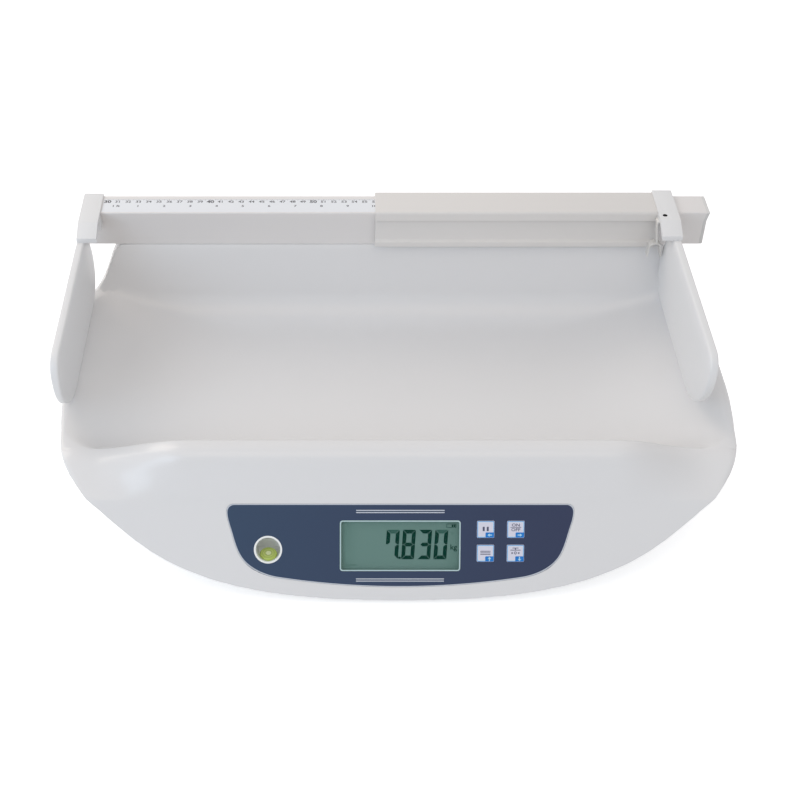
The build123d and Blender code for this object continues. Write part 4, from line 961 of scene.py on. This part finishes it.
# how far from the screw's axis the bore's painted shade reaches
BORE_REACH = 2.8
BLADE_SPAN, BLADE_FRONT_R, BLADE_BACK_R, BLADE_STEPS = (-67.0, 149.5), 16.0, 46.0, 14
BLADE_SECTION = ((14.0, 0.0), (6.0, 0.0), (1.5, 0.0), (0.75, 0.15), (0.2, 0.6), (0.0, 1.3),
                 (0.0, 5.2), (0.2, 6.1), (0.75, 6.8), (1.6, 7.25), (3.0, 7.7), (5.0, 8.15),
                 (7.5, 8.55), (10.5, 8.85), (14.0, 9.0))     # in from its edge, up from its back


def arm(node, name):
    """An end stop's arm, its toe finished square over the blade."""
    piece = eased(node, name, 0.9, stop_white)
    work = bmesh.new()
    work.from_mesh(piece.data)
    everything = work.verts[:] + work.edges[:] + work.faces[:]
    cut = bmesh.ops.bisect_plane(work, geom=everything, plane_co=(0, TOE_Y * MM, 0),
                                 plane_no=(0, -1, 0), clear_outer=True)
    bmesh.ops.holes_fill(work, edges=[e for e in cut["geom_cut"] if isinstance(e, bmesh.types.BMEdge)])
    work.to_mesh(piece.data)
    work.free()
    return smooth_to(piece, 40)


def dark_bore(piece, node):
    """Painted shade in the bore over a sunk screw: its inner wall takes the dark material."""
    low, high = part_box(node)
    middle = (low + high) / 2
    piece.data.materials.append(dark_steel_and_bore_shade)
    for face in piece.data.polygons:
        away = face.center - middle
        if math.hypot(away.x, away.y) < BORE_REACH * MM and abs(face.normal.z) < 0.5:
            # painted shade on the bore's wall
            face.material_index = 1


def blade_ring(low, top, draw):
    """Outline of a blade as (y, z), drawn in evenly: front end turned up, back end round."""
    y0, y1 = BLADE_SPAN[0] + draw, BLADE_SPAN[1] - draw
    z0, z1, tall = low + draw, top - draw, top - low
    points = []
    for y, z, r, start in ((y1, z1, BLADE_BACK_R, 0), (y0, z1, BLADE_FRONT_R, 90),
                           (y0, z0, tall - BLADE_FRONT_R - 1, 180), (y1, z0, tall - BLADE_BACK_R - 3, 270)):
        r -= draw
        cy, cz = y + (r if y == y0 else -r), z + (r if z == z0 else -r)
        for i in range(BLADE_STEPS + 1):
            a = math.radians(start + 90 * i / BLADE_STEPS)
            points.append((cy + r * math.cos(a), cz + r * math.sin(a)))
    return points


def padded_blade(node, name, outer, inward):
    """A blade: plate with a rolled rim and a crowned field on its inner face."""
    low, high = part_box(node)
    rings = [blade_ring(low.z / MM, high.z / MM, draw) for draw, _ in BLADE_SECTION]
    n = len(rings[0])
    verts = [((outer + inward * rise) * MM, y * MM, z * MM)
             for ring, (_, rise) in zip(rings, BLADE_SECTION) for y, z in ring]
    faces = [(k * n + i, k * n + (i + 1) % n, (k + 1) * n + (i + 1) % n, (k + 1) * n + i)
             for k in range(len(rings) - 1) for i in range(n)]
    faces += [tuple(range(n)), tuple(range((len(rings) - 1) * n, len(rings) * n))]
    piece = mesh_piece(name, verts, faces, stop_white)
    work = bmesh.new()
    work.from_mesh(piece.data)
    bmesh.ops.recalc_face_normals(work, faces=work.faces)
    work.to_mesh(piece.data)
    work.free()
    smooth_to(piece, 50)
    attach(piece, frame["nodes"][node]["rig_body"])
    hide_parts(node)


arm("head_stop_arm", "head_arm")
padded_blade("head_stop_blade", "head_blade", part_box("head_stop_blade")[0].x / MM, 1)
# the foot arm's bore wall is painted dark as shade
dark_bore(arm("foot_stop_arm", "foot_arm"), "brake_screw")
padded_blade("foot_stop_blade", "foot_blade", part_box("foot_stop_blade")[1].x / MM, -1)
eased("brake_spring", "brake_leaf", 0.25, spring_white, 2)
eased("brake_screw", "brake_screw_fixing", 0.15, dark_steel_and_bore_shade, 2)
eased("head_stop_screw", "head_stop_screw_fixing", 0.35, zinc, 2)

# ---------------------------------------------------------------- base
# Textured grey pan that closes the underside, with the battery cover in it, and four
# levelling feet: brass bush, black stud with a finger wheel, and a rubber pad.
base_grey = moulded("base_grey", (0.42, 0.43, 0.44), 0.55, 1600.0, 0.00010)
foot_black = moulded("foot_black", (0.035, 0.035, 0.037), 0.5, 1200.0, 0.00006, 0.1)
rubber = moulded("foot_rubber", (0.022, 0.022, 0.022), 0.72, 900.0, 0.00012, 0.15)
brass = plated("insert_brass", (0.70, 0.52, 0.25))
painted("base_pan", base_grey)
eased("battery_cover", "cell_cover", 0.4, base_grey)
for corner in ("front_left", "front_right", "back_left", "back_right"):
    eased(f"foot_stud_{corner}", f"stud_{corner}", 0.3, foot_black, 2)
    eased(f"foot_pad_{corner}", f"pad_{corner}", 0.8, rubber)
    painted(f"foot_insert_{corner}", brass)

# ---------------------------------------------------------------- inside
# What the base and the console hold: the display board and its switches, the load cell
# between its plate and the cast cross that carries the tray, and the battery box.
cast = plated("cast_aluminium", (0.52, 0.53, 0.54), 0.5)
milled = plated("cell_aluminium", (0.68, 0.69, 0.70), 0.28)
board_green = moulded("board_green", (0.02, 0.14, 0.06), 0.4, 700.0, 0.00005, 0.2)
switch_black = moulded("switch_black", (0.03, 0.03, 0.03), 0.4)
can_wrap = moulded("battery_can", (0.06, 0.06, 0.07), 0.3, 800.0, 0.00002, 0.1)
INSIDE = {"base_frame": zinc, "cell_bolts": zinc, "board_screws": zinc,
          "load_cell": milled, "cell_spacers": milled, "load_spider": cast,
          "battery_box": base_grey, "battery_cells": can_wrap, "display_board": board_green,
          "key_switches": switch_black, "dc_inlet": switch_black}
for node, material in INSIDE.items():
    painted(node, material)

# ---------------------------------------------------------------- stage
# Plain pale floor that reads white to the camera and keeps the object's soft shadow,
# an even sky, and three large soft lamps.
FLOOR_HALF = 8
SKY_STRENGTH, SKY_TINT = 0.67, (0.95, 0.965, 1.0)
LAMP_AIM = Vector((0, 0, 0.1))
LOOK_DOWN = 41                                 # degrees
LENS, SENSOR, SHIFT = 64.3, 36.0, 0.0894
CAMERA_PLACE = (-0.0618, -1.0051, 0.9499)


def seen_directly(tree):
    """1 for rays that show the background: camera, glossy and transmission rays."""
    path = tree.nodes.new("ShaderNodeLightPath")
    total = path.outputs["Is Camera Ray"]
    for name in ("Is Glossy Ray", "Is Transmission Ray"):
        either = tree.nodes.new("ShaderNodeMath")
        either.operation = "MAXIMUM"
        tree.links.new(total, either.inputs[0])
        tree.links.new(path.outputs[name], either.inputs[1])
        total = either.outputs[0]
    return total


floor_corners = [(a * FLOOR_HALF, b * FLOOR_HALF, 0) for a, b in ((-1, -1), (1, -1), (1, 1), (-1, 1))]
floor = mesh_piece("floor", floor_corners, [(0, 1, 2, 3)])
floor_white, tree, shader, where = surface("floor_white")
shader.inputs["Base Color"].default_value = (0.86, 0.86, 0.86, 1)
shader.inputs["Roughness"].default_value = 0.9
shader.inputs["Specular IOR Level"].default_value = 0.0
shader.inputs["Emission Color"].default_value = (1, 1, 1, 1)
tree.links.new(span(tree, seen_directly(tree), 0, 0.6), shader.inputs["Emission Strength"])
floor.data.materials.append(floor_white)

world = bpy.data.worlds.new("world")
bpy.context.scene.world = world
world.use_nodes = True
sky = world.node_tree
backdrop = sky.nodes["Background"]
seen = seen_directly(sky)
sky.links.new(span(sky, seen, SKY_STRENGTH, 1.0), backdrop.inputs["Strength"])
sky.links.new(blend_colour(sky, seen, SKY_TINT, (1, 1, 1)), backdrop.inputs["Color"])


def soft_lamp(name, place, size, power, colour):
    """Square soft lamp aimed at the tray."""
    data = bpy.data.lights.new(name, "AREA")
    data.size, data.energy, data.color = size, power, colour
    lamp = bpy.data.objects.new(name, data)
    lamp.location = place
    lamp.rotation_euler = (LAMP_AIM - Vector(place)).to_track_quat("-Z", "Y").to_euler()
    bpy.context.scene.collection.objects.link(lamp)


soft_lamp("front_left", (-1.6, -1.6, 1.3), 1.4, 13.0, (0.66, 0.82, 1.0))
soft_lamp("front_high", (0.0, -1.2, 2.4), 1.6, 6.5, (1.0, 0.80, 0.60))
soft_lamp("back_left", (-1.6, 1.2, 1.8), 1.4, 15.0, (1.0, 0.88, 0.76))

camera_data = bpy.data.cameras.new("camera")
camera_data.lens, camera_data.sensor_width, camera_data.shift_x = LENS, SENSOR, SHIFT
camera = bpy.data.objects.new("camera", camera_data)
camera.location = CAMERA_PLACE
camera.rotation_euler = (math.radians(90 - LOOK_DOWN), 0, 0)
bpy.context.scene.collection.objects.link(camera)
bpy.context.scene.camera = camera
bpy.context.scene.view_settings.view_transform = "Standard"
